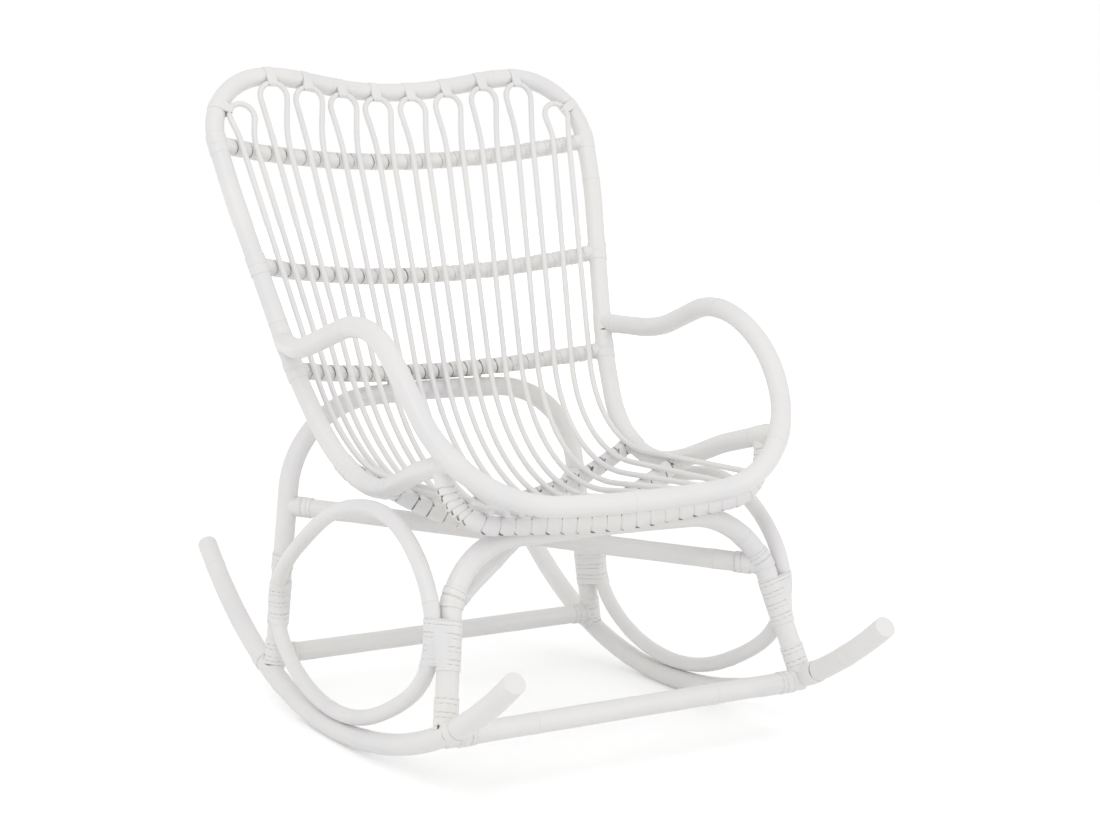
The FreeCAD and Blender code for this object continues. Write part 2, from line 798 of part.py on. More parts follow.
rearBarLow = rearSeatEnd.z - rearSeatBarSag
middleBarLow = middleSeatEnd.z - middleSeatBarSag
lowerBracePath = straight(onLeg(rearArchPath, rearBarLow - lowerBraceRearDrop, -1),
                          onLeg(frontArchPath, middleBarLow - lowerBraceFrontDrop, 1))
upperBracePath = straight(onLeg(rearArchPath, rearBarLow - upperBraceRearDrop, 1),
                          onLeg(frontArchPath, middleBarLow - upperBraceFrontDrop, -1))
archSeats = [frontArchSeat, rearArchSeat]
braceSeats = [seat(lowerBracePath, braceDiameter), seat(upperBracePath, braceDiameter)]

# Where they cross, they are half lapped: each keeps its half below or above one level.
crossPlaces = seatPlace(lowerBracePath, upperBracePath)
crossing = (pointAt(lowerBracePath, crossPlaces[0]) + pointAt(upperBracePath, crossPlaces[1])) * 0.5
lapSize = 3 * braceDiameter
lapCorner = crossing - Vector(lapSize / 2, lapSize / 2, 0)
lapAbove = Part.makeBox(lapSize, lapSize, lapSize, lapCorner - Vector(0, 0, jointGap / 2))
lapBelow = Part.makeBox(lapSize, lapSize, lapSize, lapCorner - Vector(0, 0, lapSize - jointGap / 2))
lowerBrace = trimmed(pole(lowerBracePath, braceDiameter), archSeats + [braceSeats[1].common(lapAbove)])
upperBrace = trimmed(pole(upperBracePath, braceDiameter), archSeats + [braceSeats[0].common(lapBelow)])


# Lashings of wound cane: sleeves, one side made and mirrored

def bothSides(shapes):
    return Part.makeCompound(shapes + [mirrored(shape) for shape in shapes])


def endLashing(path, distance, diameter, cutters):
    # Round a pole near its end, up against the pole that the end is shaped to.
    return lashing(path, distance, endLashingLength, diameter, cutters)


def woundSeat(path, diameter):
    # What a lashed pole takes out of the lashings beside it.
    return pole(path, diameter + 2 * (caneThickness + 2 * jointGap))


railLashings = []
for path in loopPaths[:loopCount // 2]:
    crownPlace, railPlace = seatPlace(path, topRailPath)
    cutter = seat(middleStretch(path, crownPlace, loopPitch), spindleDiameter)
    railLashings.append(lashing(topRailPath, railPlace, railLashingLength, hoopDiameter, [cutter]))


def barLashing(path):
    place = nearest(backPath, path[-1]["end"])
    cutters = [seat(path, barDiameter), woundSeat(armFront, armDiameter)]
    return lashing(backPath, place, barLashingLength, hoopDiameter, cutters)


backBarLashings = [barLashing(path) for path in backBarPaths]
seatBarLashings = [barLashing(path) for path in seatBarPaths]
armPlace = nearest(backPath, armPath[-1]["end"])
armLashing = lashing(backPath, armPlace, armLashingLength, hoopDiameter, [seat(armPath, armDiameter)])
frontBarSeat = seat(frontSeatPath, barDiameter)
hoopLashing = lashing(armPath, hoopEndDistance, hoopLashingLength, armDiameter, [backSeat, frontBarSeat])

stretcherSeats = [seat(frontStretcherPath, stretcherDiameter), seat(rearStretcherPath, stretcherDiameter)]
footLashings = []
ringLashings = []
for path, legPath in ((frontArchPath, frontLegPath), (rearArchPath, rearLegPath)):
    foot = pathLength(path) - footLashingRise - footLashingLength / 2
    footCutters = rockerSeats + stretcherSeats + [ringSeat]
    footLashings.append(lashing(path, foot, footLashingLength, legDiameter, footCutters))
    touch = pathLength(path) / 2 + seatPlace(legPath, ringPath)[0]
    legCutters = [ringSeat] + braceSeats + [mirrored(shape) for shape in braceSeats]
    ringLashings.append([lashing(path, touch, ringLashingLength, legDiameter, legCutters),
                         lashing(path, touch - upperRingLashingRise, upperRingLashingLength, legDiameter,
                                 legCutters)])

woundLegs = [woundSeat(frontArchPath, legDiameter), woundSeat(rearArchPath, legDiameter)]
woundRockers = [woundSeat(rockerPath, rockerDiameter)]
endPlace = (legDiameter + endLashingLength) / 2
stretcherLashings = []
for path in (frontStretcherPath, rearStretcherPath):
    stretcherLashings.append(endLashing(path, pathLength(path) - endPlace, stretcherDiameter,
                                        woundLegs + woundRockers))
braceLashings = []
for path in (lowerBracePath, upperBracePath):
    for place in (endPlace, pathLength(path) - endPlace):
        braceLashings.append(endLashing(path, place, braceDiameter, woundLegs))
crossLashing = lashing(lowerBracePath, crossPlaces[0], crossLashingLength, braceDiameter, [braceSeats[1]])


# Wood screws under the lashings, each with its own hole

screwGroups = {}
screwHoles = []


def screwSolid(head, direction, length, room):
    # Cone head and shank, turned round the screw's axis, larger by some room.
    across = unit(direction.cross(Vector(1, 1, 1)))
    headRadius = screwHeadDiameter / 2 + room
    shankRadius = screwDiameter / 2 + room
    outline = [head - direction * room, head - direction * room + across * headRadius,
               head + across * headRadius, head + direction * screwHeadHeight + across * shankRadius,
               head + direction * (length + room) + across * shankRadius,
               head + direction * (length + room)]
    face = Part.Face(Part.makePolygon(outline + outline[:1]))
    return face.revolve(head, direction, 360)


def addScrew(group, centre, direction, poleDiameter, length):
    # Through a pole at its centre line, from the surface on, into the pole behind it.
    direction = unit(direction)
    head = centre - direction * (poleDiameter / 2 - screwSink)
    depth = screwSink + jointGap
    mouth = Part.makeCylinder(screwHeadDiameter / 2 + screwFit, depth, head - direction * depth, direction)
    screwGroups.setdefault(group, []).append(screwSolid(head, direction, length, 0))
    screwHoles.append(screwSolid(head, direction, length, screwFit).fuse(mouth))


def addPair(group, centre, direction, poleDiameter, length):
    addScrew(group, centre, direction, poleDiameter, length)
    addScrew(group, Vector(-centre.x, centre.y, centre.z), Vector(-direction.x, direction.y, direction.z),
             poleDiameter, length)


for path in (frontArchPath, rearArchPath):
    foot = path[-1]
    addPair("foot_screws", foot["end"], -runDirection(foot, runLength(foot)), rockerDiameter, footScrewLength)
for path in backBarPaths + seatBarPaths:
    end = path[-1]
    addPair("bar_screws", end["end"], -runDirection(end, runLength(end)), hoopDiameter, screwLength)
for end, diameter in ((armPath[-1], hoopDiameter), (backPath[-1], armDiameter)):
    addPair("arm_screws", end["end"], -runDirection(end, runLength(end)), diameter, armScrewLength)
for path in (frontStretcherPath, rearStretcherPath):
    aside = Vector(0, stretcherScrewAside, 0)
    addPair("stretcher_screws", path[0]["end"] + aside, Vector(-1, 0, 0), rockerDiameter, screwLength)
for path in (lowerBracePath, upperBracePath):
    for centre, direction in ((path[0]["start"], 1), (path[0]["end"], -1)):
        addScrew("brace_screws", centre, runDirection(path[0], 0) * direction, legDiameter, screwLength)
for archPath, barPath in ((frontArchPath, frontSeatPath), (rearArchPath, backBarPaths[2])):
    centre = pointAt(archPath, distanceWhere(archPath, lambda p: p.x, archScrewPlace))
    bar = pointAt(barPath, distanceWhere(barPath, lambda p: p.x, archScrewPlace))
    addPair("arch_screws", centre, bar - centre, legDiameter, screwLength)
for path in (frontLegPath, rearLegPath, rockerPath):
    ringPlace, polePlace = seatPlace(ringPath, path)
    centre = pointAt(ringPath, ringPlace)
    addPair("ring_screws", centre, pointAt(path, polePlace) - centre, ringDiameter, ringScrewLength)


def drilled(shape):
    for hole in screwHoles:
        if shape.BoundBox.intersect(hole.BoundBox):
            shape = shape.cut(hole)
    return max(shape.Solids, key=lambda solid: solid.Volume)


# Nodes

poles = {
    "rocker_left": rockerLeft, "rocker_right": mirrored(rockerLeft),
    "front_leg_arch": frontArch, "rear_leg_arch": rearArch,
    "side_ring_left": ringLeft, "side_ring_right": mirrored(ringLeft),
    "back_hoop": backHoop, "arm_hoop": armHoop,
    "back_bar_top": backBars[0], "back_bar_middle": backBars[1], "back_bar_lower": backBars[2],
    "seat_bar_rear": seatBars[0], "seat_bar_middle": seatBars[1], "seat_bar_front": seatBars[2],
    "front_stretcher": frontStretcher, "rear_stretcher": rearStretcher,
    "diagonal_brace_lower": lowerBrace, "diagonal_brace_upper": upperBrace,
}
nodes = {name: drilled(shape) for name, shape in poles.items()}
for index, loop in enumerate(loops):
    nodes["spindle_loop_%02d" % (index + 1)] = loop
nodes["top_rail_lashings"] = bothSides(railLashings)
nodes["back_bar_lashings"] = bothSides([drilled(shape) for shape in backBarLashings])
nodes["seat_bar_lashings"] = bothSides([drilled(shape) for shape in seatBarLashings])
nodes["arm_end_lashings"] = bothSides([drilled(armLashing)])
nodes["hoop_end_lashings"] = bothSides([drilled(hoopLashing)])
nodes["front_foot_lashings"] = bothSides([drilled(footLashings[0])])
nodes["rear_foot_lashings"] = bothSides([drilled(footLashings[1])])
nodes["front_ring_lashings"] = bothSides([drilled(shape) for shape in ringLashings[0]])
nodes["rear_ring_lashings"] = bothSides([drilled(shape) for shape in ringLashings[1]])
nodes["stretcher_end_lashings"] = bothSides(stretcherLashings)
nodes["brace_end_lashings"] = Part.makeCompound(braceLashings)
nodes["brace_crossing_lashing"] = crossLashing
for name, group in screwGroups.items():
    nodes[name] = Part.makeCompound(group)

for name, shape in nodes.items():
    save(shape, name)
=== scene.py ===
import math

import bpy
import numpy as np
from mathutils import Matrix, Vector


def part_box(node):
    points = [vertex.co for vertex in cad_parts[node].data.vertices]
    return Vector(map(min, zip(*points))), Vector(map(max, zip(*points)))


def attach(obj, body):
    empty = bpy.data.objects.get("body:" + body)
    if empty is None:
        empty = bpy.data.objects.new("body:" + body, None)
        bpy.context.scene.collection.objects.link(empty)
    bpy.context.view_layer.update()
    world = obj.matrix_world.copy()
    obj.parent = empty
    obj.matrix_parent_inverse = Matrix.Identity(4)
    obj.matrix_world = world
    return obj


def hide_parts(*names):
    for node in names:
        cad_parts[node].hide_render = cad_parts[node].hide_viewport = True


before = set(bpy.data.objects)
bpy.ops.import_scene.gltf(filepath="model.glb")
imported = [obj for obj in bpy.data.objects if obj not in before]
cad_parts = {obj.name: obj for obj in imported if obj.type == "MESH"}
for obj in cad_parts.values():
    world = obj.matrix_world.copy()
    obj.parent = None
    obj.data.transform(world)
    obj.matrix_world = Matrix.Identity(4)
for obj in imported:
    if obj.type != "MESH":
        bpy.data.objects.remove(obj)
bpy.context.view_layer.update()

# Rattan rocking chair, painted white. Paths are worked out in millimetres, meshes are made in metres.
# +Z is up, the sitter faces -Y, +X is the sitter's left.
mm = 0.001
bpy.context.scene.view_settings.view_transform = "Standard"

chair = dict(height=952.0, hoopWidth=650.0, depth=1020.0)
pole = dict(
    rocker=30.0, leg=30.0, arm=29.0, hoop=28.0, brace=28.0, stretcher=29.0, ring=22.0, bar=26.0, spindle=8.6,
    gap=0.3)


# Paths: straight runs and tangent arcs, sampled every millimetre

pathStep = 1.0
samePoint = 1e-4


def vec(*numbers):
    return np.array(numbers, dtype=float)


def unit(v):
    return v / np.linalg.norm(v, axis=-1, keepdims=True)


class Path:
    # A sampled centre line: its points, the distance to each and its direction there.
    def __init__(self, points):
        keep = np.ones(len(points), bool)
        keep[1:] = np.linalg.norm(np.diff(points, axis=0), axis=1) > samePoint
        self.points = points[keep]
        steps = np.linalg.norm(np.diff(self.points, axis=0), axis=1)
        self.distances = np.concatenate([[0], np.cumsum(steps)])
        self.length = self.distances[-1]
        self.directions = unit(np.gradient(self.points, self.distances, axis=0))

    def read(self, rows, distance):
        return np.stack([np.interp(distance, self.distances, rows[:, i]) for i in range(3)], axis=-1)

    def at(self, distance):
        return self.read(self.points, distance)

    def along(self, distance):
        return unit(self.read(self.directions, distance))

    def where(self, axis, goal, low=0.0, high=math.inf):
        # Distance at which x, y or z passes a value, between two distances where it only rises or falls.
        inside = (self.distances >= low) & (self.distances <= high)
        values, places = self.points[inside, axis], self.distances[inside]
        if values[0] > values[-1]:
            values, places = values[::-1], places[::-1]
        return float(np.interp(goal, values, places))

    def nearest(self, point):
        return float(self.distances[np.argmin(np.linalg.norm(self.points - point, axis=1))])

    def part(self, low, high):
        inside = (self.distances > low) & (self.distances < high)
        return Path(np.vstack([self.at(low)[None], self.points[inside], self.at(high)[None]]))

    def halves(self):
        return self.part(0, self.length / 2), self.part(self.length / 2, self.length)


def between(first, last):
    # Points from first up to, but not at, last.
    count = max(int(round(np.linalg.norm(last - first) / pathStep)), 1)
    return first + np.arange(count)[:, None] / count * (last - first)


def bend(corners, radii):
    # An arc: centre + cos(angle) * (first - centre) + sin(angle) * radius * the direction of travel.
    pieces = []
    start = corners[0]
    for before, corner, after, radius in zip(corners, corners[1:], corners[2:], radii):
        back, ahead = unit(before - corner), unit(after - corner)
        turn = math.pi - math.acos(back @ ahead)
        reach = radius * math.tan(turn / 2)
        first = corner + back * reach
        centre = corner + unit(back + ahead) * radius / math.cos(turn / 2)
        angles = np.arange(0, turn, pathStep / radius)[:, None]
        pieces.append(between(start, first))
        pieces.append(centre + np.cos(angles) * (first - centre) - np.sin(angles) * back * radius)
        start = corner + ahead * reach
    pieces.append(between(start, corners[-1]))
    return Path(np.vstack(pieces + [corners[-1][None]]))


def arcThrough(first, middle, last):
    # The circle through three points, from the first to the last by way of the middle.
    a, b = first - middle, last - middle
    normal = np.cross(a, b)
    centre = middle + np.cross((a @ a) * b - (b @ b) * a, normal) / (2 * normal @ normal)
    arm = first - centre
    radius = np.linalg.norm(arm)
    travel = np.cross(unit(np.cross(first - centre, last - centre)), arm)
    turn = math.acos(unit(arm) @ unit(last - centre))
    angles = np.linspace(0, turn, int(radius * turn / pathStep) + 2)[:, None]
    return Path(centre + np.cos(angles) * arm + np.sin(angles) * travel)


def straight(first, last):
    return Path(np.vstack([between(first, last), last[None]]))


def acrossMiddle(half, middle):
    # Corners of one half, mirrored, then the middle one, then the half back out again.
    return [p * vec(-1, 1, 1) for p in half] + [middle] + list(reversed(half))


def meeting(path, other):
    # Distances along both paths where they come closest, and how close they come.
    gaps = ((path.points[:, None, :] - other.points[None, :, :]) ** 2).sum(axis=2)
    i, j = np.unravel_index(gaps.argmin(), gaps.shape)
    return float(path.distances[i]), float(other.distances[j]), math.sqrt(gaps[i, j])


# Surfaces: a grid of rows along a path and columns round it

sharpAngle = 48.0


def across(*direction):
    # Reference side for a flat path: the same direction everywhere.
    return lambda points: np.broadcast_to(vec(*direction), points.shape)


def outFrom(y, z):
    # Reference side for a hoop: straight out from a level line through the chair.
    return lambda points: points * vec(0, 1, 1) - vec(0, y, z)


def frameRows(path, distance, side):
    # u = side made square to the direction t, v = t x u
    place, t = path.at(distance), path.along(distance)
    reference = side(place)
    u = unit(reference - t * (reference * t).sum(axis=1, keepdims=True))
    return place, t, u, np.cross(t, u)


def addObject(name, data):
    made = bpy.data.objects.new(name, data)
    bpy.context.scene.collection.objects.link(made)
    return made


def aim(holder, place, direction):
    holder.location = place
    holder.rotation_euler = Vector(direction).to_track_quat("-Z", "Y").to_euler()


class Piece:
    # Collects surfaces and makes one object of them.
    def __init__(self):
        self.points, self.corners, self.sizes, self.uvs, self.gaps, self.count = [], [], [], [], [], 0

    def add(self, grid, along, gap=0.0, closedRows=False, capped=False, flip=False):
        # grid is rows x columns x 3, along the distance of each row in millimetres.
        rows, columns = grid.shape[:2]
        last = rows if closedRows else rows - 1
        i, j = np.meshgrid(np.arange(last), np.arange(columns), indexing="ij")
        ahead, beside = (i + 1) % rows, (j + 1) % columns
        quads = np.stack([i * columns + j, i * columns + beside,
                          ahead * columns + beside, ahead * columns + j], -1)
        step = (along[-1] - along[0]) / (rows - 1)
        far = np.append(along[1:], along[-1] + step)[:last]
        low, high = along[:last][i] * mm, far[i] * mm
        left, right = j / columns, (j + 1) / columns
        uv = np.stack([low, left, low, right, high, right, high, left], -1)
        points = grid.reshape(-1, 3)
        gaps = np.broadcast_to(gap, grid.shape[:2]).ravel()
        quads, uv = quads.reshape(-1, 4), uv.reshape(-1, 4, 2)
        if flip:
            quads, uv = quads[:, ::-1], uv[:, ::-1]
        self.corners.append((quads + self.count).ravel())
        self.sizes.append(np.full(len(quads), 4))
        self.uvs.append(uv.reshape(-1, 2))
        if capped:
            hubs = grid[[0, -1]].mean(axis=1)
            for end, hub in ((0, rows * columns), (rows - 1, rows * columns + 1)):
                rim = end * columns + np.arange(columns)
                ahead = np.roll(rim, -1)
                order = [ahead, rim] if (end == 0) != flip else [rim, ahead]
                fan = np.stack([np.full(columns, hub)] + order, -1)
                self.corners.append((fan + self.count).ravel())
                self.sizes.append(np.full(columns, 3))
                self.uvs.append(np.tile(vec(along[end] * mm, 0.5), (columns * 3, 1)))
            points = np.vstack([points, hubs])
            gaps = np.append(gaps, [0, 0])
        self.points.append(points)
        self.gaps.append(gaps)
        self.count += len(points)

    def both(self, grid, *details, **more):
        # A surface and its mirror image on the other side of the chair.
        self.add(grid, *details, **more)
        self.add(grid * vec(-1, 1, 1), *details, flip=True, **more)

    def make(self, name, material, replaced):
        mesh = bpy.data.meshes.new(name)
        corners, sizes = np.concatenate(self.corners), np.concatenate(self.sizes)
        points = np.vstack(self.points) * mm
        mesh.vertices.add(len(points))
        mesh.vertices.foreach_set("co", points.astype(np.float32).ravel())
        mesh.loops.add(len(corners))
        mesh.loops.foreach_set("vertex_index", corners.astype(np.int32))
        mesh.polygons.add(len(sizes))
        mesh.polygons.foreach_set("loop_start", (np.cumsum(sizes) - sizes).astype(np.int32))
        mesh.update(calc_edges=True)
        layer = mesh.uv_layers.new(name="alongPole")
        layer.uv.foreach_set("vector", np.vstack(self.uvs).astype(np.float32).ravel())
        # The gap attribute is painted shade: how far each point darkens towards the dark brown.
        gaps = mesh.attributes.new("gap", "FLOAT", "POINT")
        gaps.data.foreach_set("value", np.concatenate(self.gaps).astype(np.float32))
        mesh.shade_smooth()
        mesh.set_sharp_from_angle(angle=math.radians(sharpAngle))
        mesh.materials.append(material)
        made = addObject(name, mesh)
        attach(made, "root")
        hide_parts(replaced)


grown = dict(
    nodePitch=286.0, nodeSwell=0.45, nodeWidth=7.0, wander=0.012, wanderLength=173.0, overtone=2.3,
    overtoneShare=0.5, capRows=5, closingLength=60.0)


def grownRadius(distance, radius, shift):
    # radius * (1 + wander) + a low swelling at each joint of the cane
    offset = (distance + shift) % grown["nodePitch"] - grown["nodePitch"] / 2
    swell = grown["nodeSwell"] * np.exp(-(offset / grown["nodeWidth"]) ** 2)
    phase = (distance + shift) * 2 * math.pi / grown["wanderLength"]
    share = grown["overtoneShare"]
    wave = (np.sin(phase) + share * np.sin(grown["overtone"] * phase + shift)) / (1 + share)
    return radius * (1 + grown["wander"] * wave) + swell


def outwards(u, v, columns):
    # The angles of the columns, and the directions cos(angle) * u + sin(angle) * v of each row.
    angle = np.arange(columns) * 2 * math.pi / columns
    return angle, np.cos(angle)[None, :, None] * u[:, None, :] + np.sin(angle)[None, :, None] * v[:, None, :]


def poleGrid(path, diameter, side, shift=0.0, spacing=4.0, columns=28, rounding=(0.0, 0.0), closed=False):
    # Rows along the pole; a rounded end adds rows on a quarter circle of its own.
    count = int(path.length / spacing) + 1
    distance = np.linspace(0, path.length, count + 1)
    if closed:
        distance = distance[:-1]
    place, t, u, v = frameRows(path, distance, side)
    radius = grownRadius(distance, diameter / 2, shift)
    if closed:
        blend = np.clip(distance / grown["closingLength"], 0, 1)
        radius = radius * blend + radius[-1] * (1 - blend)
    count = grown["capRows"]
    quarter = np.linspace(0, math.pi / 2, count)
    parts = [(place, u, v, radius, distance)]
    for end, size, sign in ((0, rounding[0], -1), (-1, rounding[1], 1)):
        if size:
            outward = place[end] + sign * t[end] * (size * np.sin(quarter)[:, None] - size)
            cap = (outward, np.repeat(u[end][None], count, 0), np.repeat(v[end][None], count, 0),
                   radius[end] - size * (1 - np.cos(quarter)),
                   distance[end] + sign * (size * np.sin(quarter) - size))
            if end == 0:
                inside = distance > size
                parts = [tuple(a[::-1] for a in cap)] + [tuple(a[inside] for a in parts[0])]
            else:
                inside = parts[-1][4] < path.length - size
                parts = parts[:-1] + [tuple(a[inside] for a in parts[-1]), cap]
    place, u, v, radius, distance = (np.concatenate([part[i] for part in parts]) for i in range(5))
    grid = place[:, None, :] + radius[:, None, None] * outwards(u, v, columns)[1]
    return grid, distance + shift


def roundFrom(angle, degrees, diameter):
    # Distance round the pole from a place on it, at most half a turn either way.
    turned = (angle - math.radians(degrees) + math.pi) % (2 * math.pi) - math.pi
    return turned[None, :] * diameter / 2


cane = dict(
    columns=48, rowSize=0.6, searchReach=2.2, farPenalty=1000.0, crossingReach=2.0,
    severalTurns=1.5, wander=0.10, wanderPhase=2.1, creaseStart=0.72, creaseDepth=0.7, creasePower=1.5,
    sink=0.4, nickReach=2.1, deepestGap=1.4)


def bandGrid(path, place, length, diameter, side, others=(), width=6.0, lean=1.0, thickness=1.5, slack=5.0,
             taper=0.8, rim=0.75, seam=1.0, shadeSpots=()):
    # Wound cane: each row is the hull of the tied poles' circles, and turns of cane stand out of it.
    # turn = distance / width - lean * angle share, plus a half if the turns are odd; thin at its edges.
    # Both ends thin out over the taper to the share rim. A pole is tied up to slack away.
    columns = cane["columns"]
    count = int(length / cane["rowSize"])
    offset = np.linspace(-length / 2, length / 2, count)
    base, t, u, v = frameRows(path, place + offset, side)
    angle, n = outwards(u, v, columns)
    centre = np.broadcast_to(base[:, None, :], n.shape)
    reach = np.full(n.shape[:2], diameter / 2)
    height = reach.copy()
    rows = np.arange(count)
    for other, otherDiameter in others:
        gaps = other.points[None, :, :] - base[:, None, :]
        ahead = (gaps * t[:, None, :]).sum(axis=2)
        far = np.linalg.norm(gaps, axis=2)
        tooFar = far > cane["searchReach"] * diameter
        pick = np.argmin(np.abs(ahead) + cane["farPenalty"] * tooFar, axis=1)
        near = far[rows, pick] < (diameter + otherDiameter) / 2 + slack
        step = ahead[rows, pick] / (other.directions[pick] * t).sum(axis=1)
        step = np.clip(step, -cane["crossingReach"], cane["crossingReach"])
        crossing = other.points[pick] - other.directions[pick] * step[:, None]
        support = ((crossing - base)[:, None, :] * n).sum(axis=2) + otherDiameter / 2
        wins = (support > height) & near[:, None]
        centre = np.where(wins[:, :, None], crossing[:, None, :], centre)
        reach = np.where(wins, otherDiameter / 2, reach)
        height = np.where(wins, support, height)
    turn = (offset / width)[:, None] - lean * angle[None, :] / (2 * math.pi) + round(length / width) % 2 / 2
    several = length > cane["severalTurns"] * width
    wave = cane["wander"] * np.sin(np.floor(turn) * cane["wanderPhase"] + place) * several
    edge = np.abs((turn + wave) % 1 - 0.5) * 2
    crease = np.clip((edge - cane["creaseStart"]) / (1 - cane["creaseStart"]), 0, 1)
    end = np.clip((length / 2 - np.abs(offset)) / taper, 0, 1)[:, None]
    thin = 1 - cane["creaseDepth"] * crease ** cane["creasePower"]
    height = thickness * thin * (rim + (1 - rim) * np.sqrt(end))
    outer = centre + (reach + height)[:, :, None] * n
    inner = (centre + (reach - cane["sink"])[:, :, None] * n)[[-1, 0]]
    # Painted shade in the creases between turns.
    gap = crease ** 2 * seam
    for along, degrees, tall, wide in shadeSpots:
        # Painted shade on a gap between parts: far counts the distance from its middle in half lengths and
        # half widths.
        turned = roundFrom(angle, degrees, diameter)
        far = np.hypot((offset[:, None] - along) / tall, turned / wide)
        gap = np.maximum(gap, np.clip(cane["nickReach"] - far, 0, cane["deepestGap"]))
    gap = np.concatenate([gap, np.zeros((2, columns))])
    return np.concatenate([outer, inner]), np.concatenate([place + offset, place + offset[[-1, 0]]]), gap


# Materials: one class for a material's nodes, one that lets sockets be added and multiplied

class Socket:
    def __init__(self, paint, socket):
        self.paint, self.socket = paint, socket

    def math(self, operation, *others):
        values = dict(enumerate((self,) + others))
        return self.paint.node("Math", values, operation=operation)

    def __add__(self, other):
        return self.math("ADD", other)

    def __sub__(self, other):
        return self.math("SUBTRACT", other)

    def __mul__(self, other):
        return self.math("MULTIPLY", other)


class Paint:
    def __init__(self, owner):
        # The owner is a new material or a new world.
        self.owner = owner
        owner.use_nodes = True
        self.tree = owner.node_tree
        self.tree.nodes.clear()

    def node(self, kind, sockets, output=0, **settings):
        made = self.tree.nodes.new("ShaderNode" + kind)
        for key, value in settings.items():
            setattr(made, key, value)
        for key, value in sockets.items():
            if isinstance(value, Socket):
                self.tree.links.new(value.socket, made.inputs[key])
            else:
                made.inputs[key].default_value = value
        return Socket(self, made.outputs[output]) if made.outputs else None

    def mix(self, factor, first, second):
        return self.node("Mix", {0: factor, 6: first, 7: second}, 2, data_type="RGBA")

    def place(self):
        # Coordinates of the object itself.
        return self.node("TexCoord", {}, 3)

    def noise(self, vector, scale, detail=3.0, roughness=0.5):
        return self.node("TexNoise", {"Vector": vector, "Scale": scale, "Detail": detail,
                                      "Roughness": roughness})

    def smooth(self, value, low, high):
        return self.node("MapRange", {"Value": value, "From Min": low, "From Max": high},
                         interpolation_type="SMOOTHSTEP")

    def spots(self, place, scale, detail, low, high):
        return self.smooth(self.noise(place, scale, detail), low, high)

    def rays(self, first, second):
        # 1 for rays of either kind.
        outputs = self.node("LightPath", {}).socket.node.outputs
        return Socket(self, outputs[first]).math("MAXIMUM", Socket(self, outputs[second]))

    def surface(self, look, height, sockets):
        # The principled shader over a bump of this height.
        sockets["Normal"] = self.node("Bump", {"Strength": look["bump"], "Height": height,
                                               "Distance": look["bumpDistance"]})
        return self.finish(self.node("BsdfPrincipled", sockets))

    def finish(self, shader, kind="OutputMaterial"):
        self.node(kind, {"Surface": shader})
        return self.owner


# Spots are a noise's scale and detail, and the range over which they fade in. The dark brown colour, with the
# crease and deep ranges, is painted shade in creases, seams and gaps between parts.
rattanPaint = dict(
    white=(0.84, 0.826, 0.812, 1), cool=(0.805, 0.797, 0.80, 1), warm=(0.83, 0.808, 0.765, 1),
    crevice=(0.10, 0.085, 0.07, 1), nodeLine=(0.62, 0.60, 0.56, 1), nodePitch=0.286,
    coolSpots=(7.0, 3.0, 0.42, 0.66), warmSpots=(11.0, 2.0, 0.45, 0.75), streakStretch=(14.0, 26.0, 1.0),
    streakNoise=(1.0, 4.0, 0.6), streaks=0.35, speckleNoise=(420.0, 2.0), speckles=0.12,
    ringRange=(0.0004, 0.0016), ringShade=0.17, ringHeight=0.35, coverNoise=(60.0, 2.0), coverMiddle=0.46,
    creaseRange=(0.30, 0.80), deepRange=(1.02, 1.20), deepShare=0.95, roughness=0.36, streakRough=0.12,
    darkRough=0.3, coat=0.12, coatRough=0.25, bump=0.35, bumpDistance=0.0012)


def paintedRattan(name, nodes=True, warmth=0.25, grain=1.0, crevice=0.85, patchy=0.32):
    # Satin paint over peeled cane: streaks along the pole, a faint ring at each joint, and painted shade in
    # crevices and gaps, tinted the brown of bare cane.
    look = rattanPaint
    paint = Paint(bpy.data.materials.new(name))
    uv = paint.node("UVMap", {}, uv_map="alongPole")
    place = paint.place()
    stretched = paint.node("VectorMath", {0: uv, 1: look["streakStretch"]}, operation="MULTIPLY")
    streaks = paint.noise(stretched, *look["streakNoise"])
    speckle = paint.noise(place, *look["speckleNoise"])
    gap = paint.node("Attribute", {}, 2, attribute_name="gap")
    shade = paint.mix(paint.spots(place, *look["coolSpots"]), look["white"], look["cool"])
    shade = paint.mix(paint.spots(place, *look["warmSpots"]) * warmth, shade, look["warm"])
    shade = paint.mix((streaks - 0.5) * look["streaks"] * grain, shade, look["nodeLine"])
    height = streaks * look["streaks"] * grain + speckle * look["speckles"]
    if nodes:
        along = paint.node("SeparateXYZ", {"Vector": uv})
        step = along.math("DIVIDE", look["nodePitch"]).math("FRACT") - 0.5
        offset = step.math("ABSOLUTE") * look["nodePitch"]
        ring = paint.smooth(offset, *look["ringRange"]) * -1.0 + 1.0
        shade = paint.mix(ring * look["ringShade"], shade, look["nodeLine"])
        height = height - ring * look["ringHeight"]
    # Painted shade: creases and seams darken in patches, and the deepest gaps darken fully.
    middle = look["coverMiddle"]
    creaseShadePatches = paint.spots(place, *look["coverNoise"], middle - patchy / 2, middle + patchy / 2)
    crease = paint.smooth(gap, *look["creaseRange"]) * creaseShadePatches * crevice
    deep = paint.smooth(gap, *look["deepRange"]) * look["deepShare"]
    dark = crease.math("MAXIMUM", deep)
    shade = paint.mix(dark, shade, look["crevice"])
    rough = streaks * look["streakRough"] + dark * look["darkRough"] + look["roughness"]
    return paint.surface(look, height, {"Base Color": shade, "Roughness": rough,
                                        "Coat Weight": look["coat"], "Coat Roughness": look["coatRough"]})


polePaint = paintedRattan("paintedPole")
spindlePaint = paintedRattan("paintedSpindle", nodes=False, warmth=0.15, grain=0.7)
canePaint = paintedRattan("paintedCane", nodes=False, warmth=0.45, grain=0.5, crevice=0.46, patchy=0.7)
woundPaint = paintedRattan("paintedWinding", nodes=False, warmth=0.7, grain=0.6, crevice=0.95, patchy=0.5)
print("materials made")


